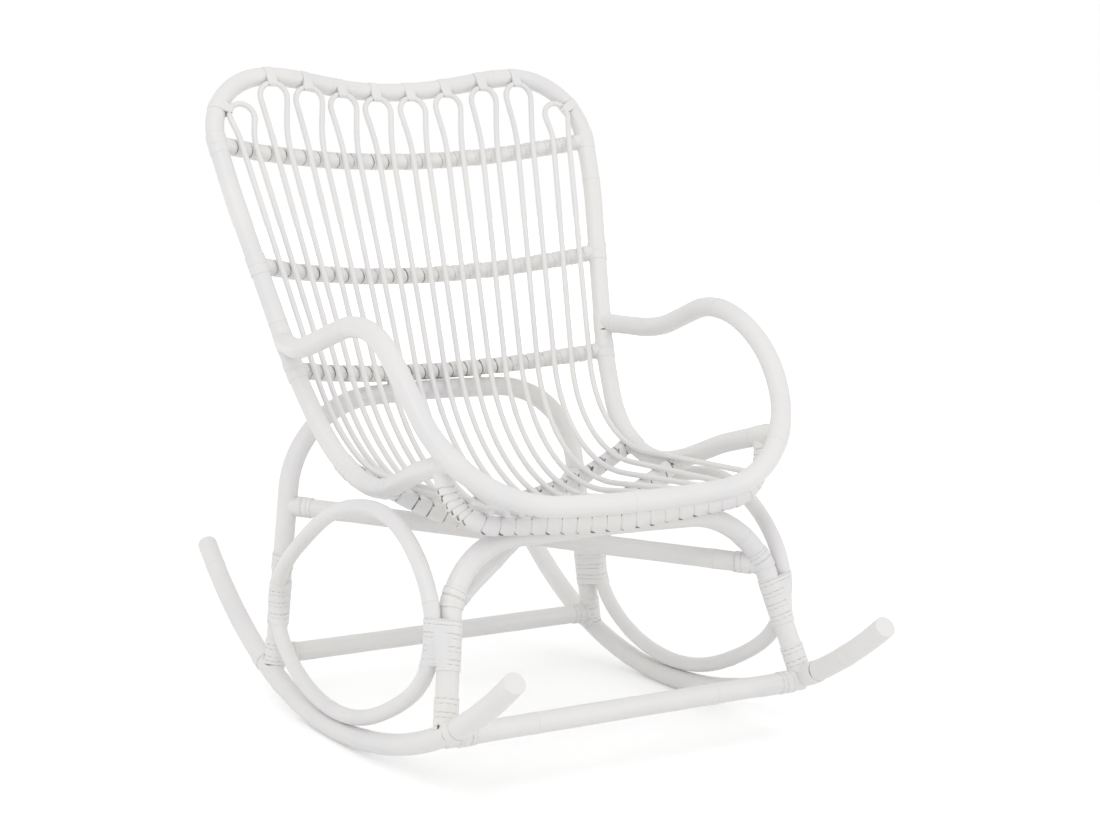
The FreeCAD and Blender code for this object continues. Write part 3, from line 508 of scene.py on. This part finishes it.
def makePole(name, replaced, path, diameter, side, flip=1, paint=polePaint, slot="white_pole", **more):
    # One pole as a piece of its own; flip is -1 for the mirror image on the other side of the chair.
    grid, along = poleGrid(path, diameter, side, **more)
    closed = more.get("closed", False)
    piece = Piece()
    piece.add(grid * vec(flip, 1, 1), along, closedRows=closed, capped=not closed, flip=flip < 0)
    piece.make(name, paint, replaced)


# Rockers: two arcs that meet where the rocker touches the floor

rocker = dict(
    touchDown=36.0, frontRadius=862.0, rearRadius=668.0, spacing=570.0, frontEnd=-500.0, rearEnd=496.0,
    rearRounding=9.0, frontRounding=1.2, jointShift=40.0, columns=36)
halfSpacing = rocker["spacing"] / 2


def rockerHeight(y):
    radius = rocker["frontRadius"] if y < rocker["touchDown"] else rocker["rearRadius"]
    return pole["rocker"] / 2 + radius - math.sqrt(radius ** 2 - (y - rocker["touchDown"]) ** 2)


def onRocker(y):
    return vec(halfSpacing, y, rockerHeight(y))


touchDown = onRocker(rocker["touchDown"])
rockerEnds = [onRocker(rocker[end]) for end in ("frontEnd", "rearEnd")]
rockerHalves = [onRocker((rocker[end] + rocker["touchDown"]) / 2) for end in ("frontEnd", "rearEnd")]
rockerFront = arcThrough(rockerEnds[0], rockerHalves[0], touchDown)
rockerRear = arcThrough(touchDown, rockerHalves[1], rockerEnds[1])
rearEnd = rockerRear.at(rockerRear.length)
rearTip = rearEnd + rockerRear.along(rockerRear.length) * rocker["rearRounding"]
rockerPath = Path(np.vstack([rockerFront.points, rockerRear.points, straight(rearEnd, rearTip).points]))
for name, flip in (("left", 1), ("right", -1)):
    makePole("rocker_pole_" + name, "rocker_" + name, rockerPath, pole["rocker"], across(1, 0, 0), flip,
             shift=rocker["jointShift"] * flip, columns=rocker["columns"],
             rounding=(rocker["frontRounding"], rocker["rearRounding"]))
print("rockers made")


# Leg arches

frontArch = dict(
    reach=317.0, height=327.0, lean=16.5, bend=122.0, crown=900.0,
    shares=[(1.0, 0.0), (0.822, 0.985), (0.0, 1.0)])
rearArch = dict(
    reach=-246.0, height=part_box("rear_leg_arch")[1][2] / mm - pole["leg"] / 2, lean=1.0, bend=148.0,
    crown=1800.0, shares=[(0.985, 0.0), (0.83, 0.985), (0.0, 1.0)])


def archPath(arch):
    slope = math.tan(math.radians(arch["lean"]))
    footZ = rockerHeight(-arch["reach"])
    points = []
    for acrossShare, upShare in arch["shares"]:
        z = footZ + (arch["height"] - footZ) * upShare
        points.append(vec(halfSpacing * acrossShare, -arch["reach"] + (z - footZ) * slope, z))
    return bend(acrossMiddle(points[:-1], points[-1]), [arch["bend"], arch["crown"], arch["bend"]])


frontArchPath, rearArchPath = archPath(frontArch), archPath(rearArch)
for name, path, arch in (("front", frontArchPath, frontArch), ("rear", rearArchPath, rearArch)):
    slope = math.radians(arch["lean"])
    makePole(name + "_arch_pole", name + "_leg_arch", path, pole["leg"],
             across(0, math.cos(slope), -math.sin(slope)), shift=arch["reach"])
frontLeg, rearLeg = frontArchPath.halves()[1], rearArchPath.halves()[1]
print("leg arches made")


# Back hoop and arm hoop: corners are shares of the half width, the half depth and the height

hoop = dict(
    shares=[(0.760, -0.336, 0.430), (0.704, 0.115, 0.3385), (0.818, 0.361, 0.533), (0.9705, 0.602, 0.8226),
            (1.001, 0.759, 0.9845), (0.573, 0.763, 0.9825)],
    middle=(0.0, 0.810, 0.948), bends=[300.0, 194.0, 300.0, 994.0, 105.0, 270.0], dip=495.0,
    endHeight=441.0, sideLine=(-80.0, 650.0), jointShift=90.0, columns=32)
arm = dict(
    shares=[(0.845, 0.402, 0.5787), (0.932, 0.173, 0.5773), (0.881, -0.207, 0.645), (0.903, -0.432, 0.5695),
            (0.808, -0.650, 0.4013)],
    middle=(0.0, -0.6915, 0.3933), bends=[188.0, 168.0, 233.0, 178.0], front=1043.0, sideLine=(0.0, 300.0),
    jointShift=160.0, columns=32)


def atShares(share):
    return vec(chair["hoopWidth"] / 2, chair["depth"] / 2, chair["height"]) * vec(*share)


armCorners = acrossMiddle([atShares(s) for s in arm["shares"]], atShares(arm["middle"]))
armPath = bend(armCorners, arm["bends"] + [arm["front"]] + arm["bends"][::-1])
armMiddle = armPath.length / 2
armFrontHigh = armPath.nearest(armCorners[-3])
hoopEndPlace = armPath.where(2, hoop["endHeight"], armMiddle, armFrontHigh)
hoopCorners = acrossMiddle([armPath.at(hoopEndPlace)] + [atShares(s) for s in hoop["shares"]],
                           atShares(hoop["middle"]))
hoopPath = bend(hoopCorners, hoop["bends"] + [hoop["dip"]] + hoop["bends"][::-1])
hoopMiddle = hoopPath.length / 2
railLow = hoopPath.nearest(hoopCorners[-3])
stileTop = hoopPath.nearest(hoopCorners[-6])
hoopSide, armSide = outFrom(*hoop["sideLine"]), outFrom(*arm["sideLine"])
for name, path, size, side, own in (("back_hoop", hoopPath, pole["hoop"], hoopSide, hoop),
                                    ("arm_hoop", armPath, pole["arm"], armSide, arm)):
    makePole(name + "_pole", name, path, size, side, shift=own["jointShift"], columns=own["columns"])
print("hoops made")


# Side rings: the CAD model says where each ends up against the legs and the rocker

ring = dict(
    length=633.0, height=352.0, softness=46.0, leanIn=10.0, jointShift=55.0, columns=26,
    bends=[101.0, 157.0, 155.0, 66.0, 128.0, 332.0],
    shares=[(-0.5, 0.014), (-0.185, 0.5), (0.118, 0.398), (0.5, -0.068), (0.307, -0.322), (0.060, -0.5)])
ringCorners = [vec(0, ring["length"] * a, ring["height"] * b) for a, b in ring["shares"]]
start = (ringCorners[-1] + ringCorners[0]) / 2
ringPath = bend([start] + ringCorners + [start], ring["bends"])


def softenedRing(points, spread, low, high):
    # Each point becomes the mean of its neighbours with weight exp(-(steps / spread)^2 / 2), all round
    # the ring, and the result is stretched back to the box from low to high.
    steps = np.arange(len(points))
    steps = np.minimum(steps, len(points) - steps)
    weight = np.exp(-(steps / spread) ** 2 / 2)
    spectrum = np.fft.fft(points, axis=0) * np.fft.fft(weight / weight.sum())[:, None]
    soft = np.fft.ifft(spectrum, axis=0).real
    size = np.ptp(soft, axis=0)
    share = (soft - soft.min(axis=0)) / np.where(size > 1, size, 1)
    soft = low + share * (high - low)
    return Path(np.vstack([soft, soft[:1]]))


low, high = (np.array(corner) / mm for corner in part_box("side_ring_left"))
low, high = low + pole["ring"] / 2, high - pole["ring"] / 2
ringPath = softenedRing(ringPath.points[:-1], ring["softness"], low, high)
rise = (ringPath.points[:, 2] - low[2]) / (high[2] - low[2])
ringPath = Path(ringPath.points - rise[:, None] * vec(ring["leanIn"], 0, 0))
for name, flip in (("left", 1), ("right", -1)):
    makePole("side_ring_pole_" + name, "side_ring_" + name, ringPath, pole["ring"], across(1, 0, 0), flip,
             shift=ring["jointShift"] * flip, columns=ring["columns"], closed=True)
print("side rings made")


# Back bars and seat bars: bowed canes wound with flat strips

backBar = dict(
    endHeights=[835.0, 660.0, 510.0], heights=[804.0, 629.0, 484.0], reaches=[372.0, 313.5, 262.0])
seatBar = dict(
    rearY=63.0, middleY=-67.0, rearLow=306.0, middleLow=297.5, frontEndY=-250.0, frontY=-270.0,
    frontLow=332.0, frontWidth=502.0, frontRise=20.0, frontBend=75.0, frontSag=900.0)


def barBetween(end, middle):
    return arcThrough(end * vec(-1, 1, 1), middle, end)


backBarPaths = [barBetween(hoopPath.at(hoopPath.where(2, end, stileTop, railLow)), vec(0, reach, height))
                for end, height, reach in zip(backBar["endHeights"], backBar["heights"], backBar["reaches"])]


def seatEnd(y, start=railLow):
    return hoopPath.at(hoopPath.where(1, y, start, hoopPath.length))


rearSeatEnd = seatEnd(seatBar["rearY"], hoopPath.nearest(hoopCorners[-4]))
middleSeatEnd, frontSeatEnd = seatEnd(seatBar["middleY"]), seatEnd(seatBar["frontEndY"])
rearSeatPath = barBetween(rearSeatEnd, vec(0, seatBar["rearY"], seatBar["rearLow"]))
middleSeatPath = barBetween(middleSeatEnd, vec(0, seatBar["middleY"], seatBar["middleLow"]))
frontCorner = vec(seatBar["frontWidth"] / 2, seatBar["frontY"], seatBar["frontLow"] + seatBar["frontRise"])
frontMiddle = vec(0, seatBar["frontY"], seatBar["frontLow"])
frontSeatPath = bend(acrossMiddle([frontSeatEnd, frontCorner], frontMiddle),
                     [seatBar["frontBend"], seatBar["frontSag"], seatBar["frontBend"]])
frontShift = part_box("seat_bar_front")[0][1] / mm + pole["bar"] / 2 - frontSeatPath.points[:, 1].min()
frontSeatPath = Path(frontSeatPath.points + vec(0, frontShift, 0))


# Spindles: ten loops of thin cane, two legs each, over the seat bars and in front of the back bars

spindle = dict(
    loops=10, pitch=61.0, legSpace=33.0, lowSpread=472.0, frontSpread=446.0, crownGap=0.4, crownTilt=30.0,
    turnRiseShare=0.3, turnBendShare=0.5, overhang=16.0, legDraw=3.6, loopDraw=0.75, legRounds=4,
    bendRounds=5, crownRounds=14, jointShift=70.0, spacing=5.0, columns=14, rounding=0.8)
spindleSeat = (pole["bar"] + pole["spindle"]) / 2 + pole["gap"]
topPath, middlePath, lowPath = backBarPaths


def beside(path, x, alongLeg, outward):
    # Centre of a spindle that crosses a bar at x and rests on it.
    distance = path.where(0, x)
    slope = abs(unit(np.cross(path.along(distance), alongLeg)) @ outward)
    place = path.at(distance) + outward * spindleSeat / slope
    reach = unit(alongLeg) * pole["bar"]
    short = spindleSeat - meeting(straight(place - reach, place + reach), path)[2]
    return place + outward * short / slope


def sideNormal(along):
    return unit(vec(0, along[2], -along[1]))


def sideCross(a, b):
    # Cross product of two directions as seen from the side.
    return a[1] * b[2] - a[2] * b[1]


def legShape(index):
    # Front end, seat corner, place on the top bar and seat bend of one leg.
    side = 2 * index / (2 * spindle["loops"] - 1) - 1
    loop = index // 2
    xTop = (loop - (spindle["loops"] - 1) / 2) * (spindle["pitch"] - spindle["loopDraw"])
    xTop += (index % 2 * 2 - 1) * (spindle["legSpace"] / 2 - spindle["legDraw"])
    xLow = side * spindle["lowSpread"] / 2
    xFront = xMiddle = side * spindle["frontSpread"] / 2
    reaches, heights = backBar["reaches"], backBar["heights"]
    down = vec(0, reaches[2] - reaches[0], heights[2] - heights[0])
    forward = vec(0, seatBar["frontY"] - seatBar["middleY"], seatBar["frontLow"] - seatBar["middleLow"])
    for attempt in range(spindle["legRounds"]):
        top = beside(topPath, xTop, unit(down), sideNormal(down))
        low = beside(lowPath, xLow, unit(down), sideNormal(down))
        rise = sideNormal(forward)
        over = beside(middleSeatPath, xMiddle, unit(forward), rise)
        front = beside(frontSeatPath, xFront, unit(forward), rise)
        down, forward = low - top, front - over
        corner = top + down * sideCross(over - top, forward) / sideCross(down, forward)
        xMiddle = corner[0] + (front[0] - corner[0]) * (over[1] - corner[1]) / (front[1] - corner[1])
    back, ahead = unit(front - corner), unit(top - corner)
    turn = math.pi - math.acos(back @ ahead)
    outward = unit(back + ahead)
    slant = outward / math.cos(turn / 2)
    axis = unit(np.cross(back, ahead))
    x = corner[0]
    for attempt in range(spindle["bendRounds"]):
        distance = rearSeatPath.where(0, x)
        centre = rearSeatPath.at(distance)
        normal = unit(np.cross(rearSeatPath.along(distance), np.cross(outward, axis)))
        lift = spindleSeat / abs(normal @ outward)
        gap = corner - centre
        square = math.tan(turn / 2) ** 2
        linear = 2 * (slant @ gap - lift)
        constant = gap @ gap - lift * lift
        radius = (-linear + math.sqrt(linear * linear - 4 * square * constant)) / (2 * square)
        outward = unit(corner + slant * radius - centre)
        spot = centre + outward * lift - corner
        aside = sideCross(spot, ahead) * back[0] + sideCross(back, spot) * ahead[0]
        x = corner[0] + aside / sideCross(back, ahead)
    return front + back * spindle["overhang"], corner, top, radius


topRail = hoopPath.part(hoopMiddle - (stileTop - hoopMiddle) * 2, hoopMiddle + (stileTop - hoopMiddle) * 2)
railTouch = (pole["hoop"] + pole["spindle"]) / 2 + pole["gap"]
crownHalf = (spindle["pitch"] - pole["spindle"] - spindle["crownGap"]) / 2


def crownOf(left, right, peak):
    # A crown between two legs: each leg turns out to it above the top bar, and it closes in one arch.
    points, bends = [], []
    for (corner, top), inward in zip((left, right), (1, -1)):
        side = peak - vec(inward * crownHalf, 0, 0)
        room = np.linalg.norm(side - top) - crownHalf
        turn = top + unit(top - corner) * spindle["turnRiseShare"] * room
        crownAngle = math.pi - math.acos(unit(turn - side) @ vec(inward, 0, 0))
        turnAngle = math.pi - math.acos(unit(corner - turn) @ unit(side - turn))
        turnReach = spindle["turnBendShare"] * (np.linalg.norm(side - turn) - crownHalf)
        points.append([turn, side])
        bends.append([turnReach / math.tan(turnAngle / 2), crownHalf / math.tan(crownAngle / 2)])
    return points[0] + points[1][::-1], bends[0] + bends[1][::-1]


def loopPath(index):
    leftEnd, leftCorner, leftTop, leftBend = legShape(2 * index)
    rightEnd, rightCorner, rightTop, rightBend = legShape(2 * index + 1)
    left, right = (leftCorner, leftTop), (rightCorner, rightTop)
    x = (index - (spindle["loops"] - 1) / 2) * spindle["pitch"]
    tilt = math.radians(spindle["crownTilt"])
    rail = hoopPath.at(hoopPath.where(0, x, 2 * hoopMiddle - stileTop, stileTop))
    peak = rail - vec(0, math.cos(tilt), math.sin(tilt)) * railTouch
    down = unit((leftTop + rightTop) / 2 - peak)
    near, far = 0.0, 2 * railTouch
    for attempt in range(spindle["crownRounds"]):
        drop = (near + far) / 2
        points, bends = crownOf(left, right, peak + down * drop)
        if meeting(bend([leftTop] + points + [rightTop], bends), topRail)[2] < railTouch:
            near = drop
        else:
            far = drop
    points, bends = crownOf(left, right, peak + down * far)
    return bend([leftEnd, leftCorner] + points + [rightCorner, rightEnd], [leftBend] + bends + [rightBend])


loopPaths = [loopPath(index) for index in range(spindle["loops"])]
for index, path in enumerate(loopPaths):
    number = "%02d" % (index + 1)
    makePole("spindle_cane_" + number, "spindle_loop_" + number, path, pole["spindle"], hoopSide,
             paint=spindlePaint, slot="spindle_rattan", shift=spindle["jointShift"] * index,
             spacing=spindle["spacing"], columns=spindle["columns"], rounding=(spindle["rounding"],) * 2)
print("spindles made")


# Winding on the bars: a seam beside each spindle, where one strip of cane ends, sunk in a groove and darkened
# with painted shade

winding = dict(
    seamSide=8.0, depth=1.5, sink=0.25, columns=56, endTurn=9.5, firstRoom=5.0, lastRoom=14.0, fineFrom=-3.6,
    fineTo=4.8, fineRow=0.4, coarseRow=2.8, leastRow=0.15, bow=1.5, bowPhase=1.0, spread=1.25,
    spreadSwing=0.35, puff=0.5, puffPhase=2.4, fadeLength=150.0, fadeShare=0.62, wedgeLift=1.1,
    wedgeSize=0.75, wedgeSwing=0.25, wedgePhase=1.9)


def legPlaces(path):
    # x of the spindle legs where they cross a bar.
    legs = []
    for loop in loopPaths:
        for half in loop.halves():
            gaps = np.linalg.norm(half.points[:, None, :] - path.points[None, ::6, :], axis=2)
            legs.append(half.points[np.argmin(gaps.min(axis=1)), 0])
    return sorted(legs)


def seamPlaces(path):
    # A seam beside each spindle leg, and turns of cane from the outer ones to the bar's ends.
    crossings = np.array([path.distances[np.argmin(np.abs(path.points[:, 0] - x))] for x in legPlaces(path)])
    middle = crossings - winding["seamSide"]
    first = np.arange(pole["hoop"], middle[0] - winding["firstRoom"], winding["endTurn"])
    last = np.arange(middle[-1] + winding["lastRoom"], path.length - pole["hoop"] / 2, winding["endTurn"])
    return np.concatenate([first, middle, last])


def rowPlaces(path, places):
    # Rows close together at the seams and further apart between them.
    fine = (places[:, None] + np.arange(winding["fineFrom"], winding["fineTo"], winding["fineRow"])).ravel()
    fine = np.round(fine / winding["fineRow"]) * winding["fineRow"]
    coarse = np.arange(0, path.length - 1, winding["coarseRow"])
    rows = np.unique(np.concatenate([fine[(fine > 0) & (fine < path.length)], coarse, [path.length]]))
    return rows[np.append(np.diff(rows) > winding["leastRow"], True)]


def woundBar(name, replaced, path, normal, width, darkness, fadeFrom, *wedges):
    # radius - depth * exp(-((distance - seam) / width)^2) at each seam, wider on the underside
    places = seamPlaces(path)
    distance = rowPlaces(path, places)
    place, t, u, v = frameRows(path, distance, across(*normal))
    angle, n = outwards(u, v, winding["columns"])
    offset = distance[:, None] - places[None, :]
    offset = offset[np.arange(len(distance)), np.abs(offset).argmin(axis=1)]
    fromSeam = offset[:, None] - winding["bow"] * np.sin(angle * 2 + winding["bowPhase"])[None, :]
    spread = width * (winding["spread"] - winding["spreadSwing"] * np.cos(angle))[None, :]
    seam = np.exp(-(fromSeam / spread) ** 2)
    strip = np.searchsorted(places, distance)
    puff = winding["puff"] * np.sin(strip * winding["puffPhase"])[:, None] * np.cos(angle + strip[:, None])
    radius = pole["bar"] / 2 - winding["depth"] * seam - winding["sink"] + puff * (1 - seam)
    # Painted shade in each seam, weaker towards +x, and painted wedges of shadow beside it.
    fade = np.clip((place[:, 0] - fadeFrom) / winding["fadeLength"], 0, 1)[:, None]
    gap = seam * darkness * (1 - winding["fadeShare"] * fade)
    for degrees, aside, long, tall, slant in wedges:
        # far = |place along the wedge| / half length + |turn round the bar| / half width
        turned = roundFrom(angle, degrees, pole["bar"])
        far = np.abs(fromSeam - aside - slant * turned) / long + np.abs(turned) / tall
        swing = winding["wedgeSwing"] * np.sin(strip * winding["wedgePhase"] + degrees)[:, None]
        shadow = winding["wedgeLift"] + winding["wedgeSize"] + swing - far - fade
        gap = np.maximum(gap, np.clip(shadow, 0, cane["deepestGap"]))
    piece = Piece()
    piece.add(place[:, None, :] + radius[:, :, None] * n, distance, gap=gap, capped=True)
    piece.make(name, woundPaint, replaced)


# Each bar: its path, the side the canes rest on, its seams' width, the darkness of their painted shade and
# the x it fades from, then painted wedges of shadow: degrees round the bar, place beside the seam, half
# length, half width, slant.
bars = {
    ("back", "top"): (topPath, (0, -1, 0), 1.15, 1.0, -20.0, (-62, -0.8, 0.9, 3.0, 0.3)),
    ("back", "middle"): (middlePath, (0, -1, 0), 1.3, 1.0, -40.0, (-54, -0.8, 1.0, 3.8, 0.3)),
    ("back", "lower"): (lowPath, (0, -1, 0), 1.5, 1.0, 60.0, (-44, -0.8, 1.1, 4.0, 0.3),
                        (50, 3.6, 1.0, 2.2, -0.4)),
    ("seat", "rear"): (rearSeatPath, (0, 0, 1), 1.4, 1.0, 400.0, (-58, 0.6, 1.6, 3.4, 0.4),
                       (50, 2.6, 2.0, 3.0, -0.5)),
    ("seat", "middle"): (middleSeatPath, (0, 0, 1), 1.1, 0.8, 400.0, (56, 1.4, 1.4, 2.8, 0.5)),
    ("seat", "front"): (frontSeatPath, (0, 0, 1), 0.8, 0.52, 120.0, (144, 3.2, 3.0, 3.6, 0.8),
                        (34, 0.8, 0.7, 1.5, -0.5))}
for (kind, part), look in bars.items():
    woundBar(kind + "_bar_winding_" + part, kind + "_bar_" + part, *look)
print("bars made")


# Stretchers and crossed braces: heights of the stretchers, and how far below the seat bars the braces end

bracing = dict(
    frontStretcher=87.0, rearStretcher=72.0, lowerRear=8.0, lowerFront=49.5, upperRear=5.0, upperFront=46.5,
    legFrom=0.25)


def onLeg(leg, height, side):
    return leg.at(leg.where(2, height, leg.length * bracing["legFrom"], leg.length)) * vec(side, 1, 1)


def stretcherAt(y, z):
    return straight(vec(-halfSpacing, y, z), vec(halfSpacing, y, z))


def braceFrom(side, rearDrop, frontDrop):
    # From the rear leg on one side to the front leg on the other.
    return straight(onLeg(rearLeg, seatBar["rearLow"] - rearDrop, side),
                    onLeg(frontLeg, seatBar["middleLow"] - frontDrop, -side))


frontStretcher = stretcherAt(-frontArch["reach"], bracing["frontStretcher"])
rearStretcher = stretcherAt(-rearArch["reach"], bracing["rearStretcher"])
lowerBrace = braceFrom(-1, bracing["lowerRear"], bracing["lowerFront"])
upperBrace = braceFrom(1, bracing["upperRear"], bracing["upperFront"])
for name, replaced, path, size, shift in (
        ("front_stretcher_pole", "front_stretcher", frontStretcher, pole["stretcher"], 10.0),
        ("rear_stretcher_pole", "rear_stretcher", rearStretcher, pole["stretcher"], 130.0),
        ("lower_brace_pole", "diagonal_brace_lower", lowerBrace, pole["brace"], 60.0),
        ("upper_brace_pole", "diagonal_brace_upper", upperBrace, pole["brace"], 200.0)):
    makePole(name, replaced, path, size, across(0, 0, 1), shift=shift)
print("stretchers and braces made")


# Lashings of flat cane

lashing = dict(
    rail=17.0, bar=32.0, arm=38.0, hoop=48.0, foot=42.0, footRise=6.0, ring=66.0, upperRing=26.0,
    upperRingRise=62.0, end=24.0, endRoom=2.0, cross=40.0, wrap=22.0, crownReach=24.0, backBarTurn=19.0,
    seatBarTurn=11.0, ringTurn=5.6, upperRingTurn=8.5, braceTurn=8.0, crossTurn=10.0)

# The turns of each kind, and spots of painted shade where parts leave a gap: place along the lashing, degrees
# round it, half length and half width.
turns = dict(
    rail=dict(width=17.0, lean=0.15, thickness=1.0, taper=5.0, rim=0.15, shadeSpots=[(-6.5, 178, 0.7, 3.2)]),
    bar=dict(lean=0.12, thickness=1.1, taper=2.0, rim=0.3, seam=0.55),
    arm=dict(
        width=38.0, lean=0.1, thickness=0.8, taper=9.0, rim=0.05, seam=0.3,
        shadeSpots=[(17.0, 205, 1.0, 4.0), (15.0, 150, 3.2, 1.4)]),
    hoop=dict(
        width=16.0, lean=0.3, thickness=0.8, taper=8.0, rim=0.1, seam=0.45, shadeSpots=[(12.0, 200, 1.0, 4.5)]),
    wrap=dict(width=22.0, lean=0.12, thickness=1.1, rim=0.5))
legSide, poleSide = across(0, 1, 0), across(0, 0, 1)


def makeLashings(kind, bands, mirrored=True, ending="_lashings"):
    # A band is a dictionary of what bandGrid takes. Mirrored ones stand on both sides of the chair.
    piece = Piece()
    add = piece.both if mirrored else piece.add
    for band in bands:
        grid, along, gap = bandGrid(**band)
        add(grid, along, gap, closedRows=True)
    piece.make(kind + "_cane", canePaint, kind + ending)


def onHoop(path, kind, **look):
    # A lashing on the back hoop where another path ends at it.
    place = hoopPath.nearest(path.at(path.length))
    return dict(path=hoopPath, place=place, length=lashing[kind], diameter=pole["hoop"], side=hoopSide,
                **turns[kind], **look)


def onRail(loop):
    crownPlace, railPlace = meeting(loop, topRail)[:2]
    crown = loop.part(crownPlace - lashing["crownReach"], crownPlace + lashing["crownReach"])
    return dict(path=topRail, place=railPlace, length=lashing["rail"], diameter=pole["hoop"], side=hoopSide,
                others=[(crown, pole["spindle"])], **turns["rail"])


def atEnd(path, diameter, place, **look):
    return dict(path=path, place=place, length=lashing["end"], diameter=diameter, side=poleSide, **look)


makeLashings("top_rail", [onRail(loop) for loop in loopPaths], mirrored=False)
makeLashings("back_bar", [onHoop(path, "bar", width=lashing["backBarTurn"]) for path in backBarPaths])
makeLashings("seat_bar", [onHoop(path, "bar", width=lashing["seatBarTurn"])
                          for path in (rearSeatPath, middleSeatPath, frontSeatPath)])
makeLashings("arm_end", [onHoop(armPath, "arm")])
makeLashings("hoop_end", [dict(path=armPath, place=hoopEndPlace, length=lashing["hoop"], diameter=pole["arm"],
                               side=armSide, **turns["hoop"])])

# A negative slack leaves the ring out of the front arch's upper lashing, which goes round the leg alone
# The foot and wrap spots are painted shade in the gaps where the leg meets the rocker.
legLashings = dict(
    front=dict(
        arch=frontArchPath, leg=frontLeg, wrapY=-346.0, upperSlack=-20.0,
        wrapNicks=[(-10.5, 185, 0.8, 9.0), (9.5, 20, 1.0, 5.0)], footNicks=[(18.0, 116, 3.6, 1.8)]),
    rear=dict(
        arch=rearArchPath, leg=rearLeg, wrapY=276.0, upperSlack=5.0, wrapNicks=[(-10.0, 236, 3.2, 2.6)],
        footNicks=[(17.5, 140, 0.9, 11.0)]))
for name, own in legLashings.items():
    arch = own["arch"]
    onLegs = dict(path=arch, diameter=pole["leg"], side=legSide)
    foot = arch.length - lashing["footRise"] - lashing["foot"] / 2
    touch = arch.length / 2 + meeting(own["leg"], ringPath)[0]
    tied = [(ringPath, pole["ring"])]
    makeLashings(name + "_foot", [
        dict(place=foot, length=lashing["foot"], shadeSpots=own["footNicks"], **onLegs),
        dict(path=rockerPath, place=rockerPath.where(1, own["wrapY"]), length=lashing["wrap"],
             diameter=pole["rocker"], side=across(1, 0, 0), shadeSpots=own["wrapNicks"], **turns["wrap"])])
    makeLashings(name + "_ring", [
        dict(place=touch, length=lashing["ring"], others=tied, width=lashing["ringTurn"], **onLegs),
        dict(place=touch - lashing["upperRingRise"], length=lashing["upperRing"], others=tied,
             width=lashing["upperRingTurn"], slack=own["upperSlack"], **onLegs)])

endPlace = (pole["leg"] + lashing["end"]) / 2 + lashing["endRoom"]
makeLashings("stretcher_end", [atEnd(path, pole["stretcher"], path.length - endPlace)
                               for path in (frontStretcher, rearStretcher)])
makeLashings("brace_end", [atEnd(path, pole["brace"], place, width=lashing["braceTurn"])
                           for path in (lowerBrace, upperBrace)
                           for place in (endPlace, path.length - endPlace)], mirrored=False)
makeLashings("brace_crossing", [dict(path=lowerBrace, place=meeting(lowerBrace, upperBrace)[0],
                                     length=lashing["cross"], diameter=pole["brace"], side=poleSide,
                                     width=lashing["crossTurn"])], mirrored=False, ending="_lashing")
print("lashings made")


# Screws keep their solids, with white paint that shows bare metal in spots

screwLook = dict(
    paint=(0.80, 0.79, 0.77, 1), metal=(0.60, 0.60, 0.61, 1), wearScale=900.0,
    bareSpots=(260.0, 2.0, 0.58, 0.66), wearRough=0.2, roughness=0.3, bump=0.2, bumpDistance=0.0002)


def wornPaint(look):
    paint = Paint(bpy.data.materials.new("wornScrewPaint"))
    place = paint.place()
    wear = paint.noise(place, look["wearScale"])
    bare = paint.spots(place, *look["bareSpots"])
    colour = paint.mix(bare, look["paint"], look["metal"])
    rough = wear * look["wearRough"] + look["roughness"]
    return paint.surface(look, wear, {"Base Color": colour, "Roughness": rough, "Metallic": bare})


screwPaint = wornPaint(screwLook)
for name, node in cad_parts.items():
    if name.endswith("_screws"):
        node.data.materials.clear()
        node.data.materials.append(screwPaint)


# Floor, light and camera

studio = dict(
    floorSize=12.0, floorColour=(0.90, 0.90, 0.90, 1), nearLift=0.26, farLift=0.5, liftRange=(1.2, 3.5),
    worldStrength=0.85, target=(0, 0, 0.45), keyPower=29.0, keyPlace=(-2.6, -2.2, 3.4), keySize=2.6,
    fillPower=11.0, fillPlace=(2.4, -3.0, 1.6), fillSize=2.0)


def stageFloor():
    # A pale floor that lends the camera some light of its own, more of it further from the chair.
    size = studio["floorSize"]
    mesh = bpy.data.meshes.new("studio_floor")
    corners = [(-size, -size, 0), (size, -size, 0), (size, size, 0), (-size, size, 0)]
    mesh.from_pydata(corners, [], [(0, 1, 2, 3)])
    floor = addObject("studio_floor", mesh)
    paint = Paint(bpy.data.materials.new("studioFloor"))
    look = paint.rays("Is Camera Ray", "Is Glossy Ray")
    plain = paint.node("BsdfDiffuse", {"Color": studio["floorColour"]})
    far = paint.node("VectorMath", {0: paint.place()}, 1, operation="LENGTH")
    further = paint.smooth(far, *studio["liftRange"])
    level = further * (studio["farLift"] - studio["nearLift"]) + studio["nearLift"]
    lift = paint.node("Emission", {"Color": (1, 1, 1, 1), "Strength": look * level})
    mesh.materials.append(paint.finish(paint.node("AddShader", {0: plain, 1: lift})))


def softLamp(kind):
    lamp = bpy.data.lights.new(kind + "Lamp", "AREA")
    lamp.size = studio[kind + "Size"]
    lamp.energy = studio[kind + "Power"]
    place = Vector(studio[kind + "Place"])
    aim(addObject(kind + "Lamp", lamp), place, Vector(studio["target"]) - place)


def whiteWorld():
    # White to the camera, and a little dimmer as light.
    world = Paint(bpy.data.worlds.new("whiteStudio"))
    seen = world.rays("Is Camera Ray", "Is Transmission Ray")
    level = world.node("MapRange", {"Value": seen, "To Min": studio["worldStrength"], "To Max": 1.0})
    light = world.node("Background", {"Color": (1, 1, 1, 1), "Strength": level})
    bpy.context.scene.world = world.finish(light, "OutputWorld")


stageFloor()
whiteWorld()
softLamp("key")
softLamp("fill")

view = dict(place=(-1.558, -2.754, 0.899), direction=(0.501, 0.854, -0.140), lens=72.0, sensor=36.0)
camera = bpy.data.cameras.new("photoCamera")
camera.lens = view["lens"]
camera.sensor_width = view["sensor"]
holder = addObject("photoCamera", camera)
aim(holder, view["place"], view["direction"])
bpy.context.scene.camera = holder
print("stage made")
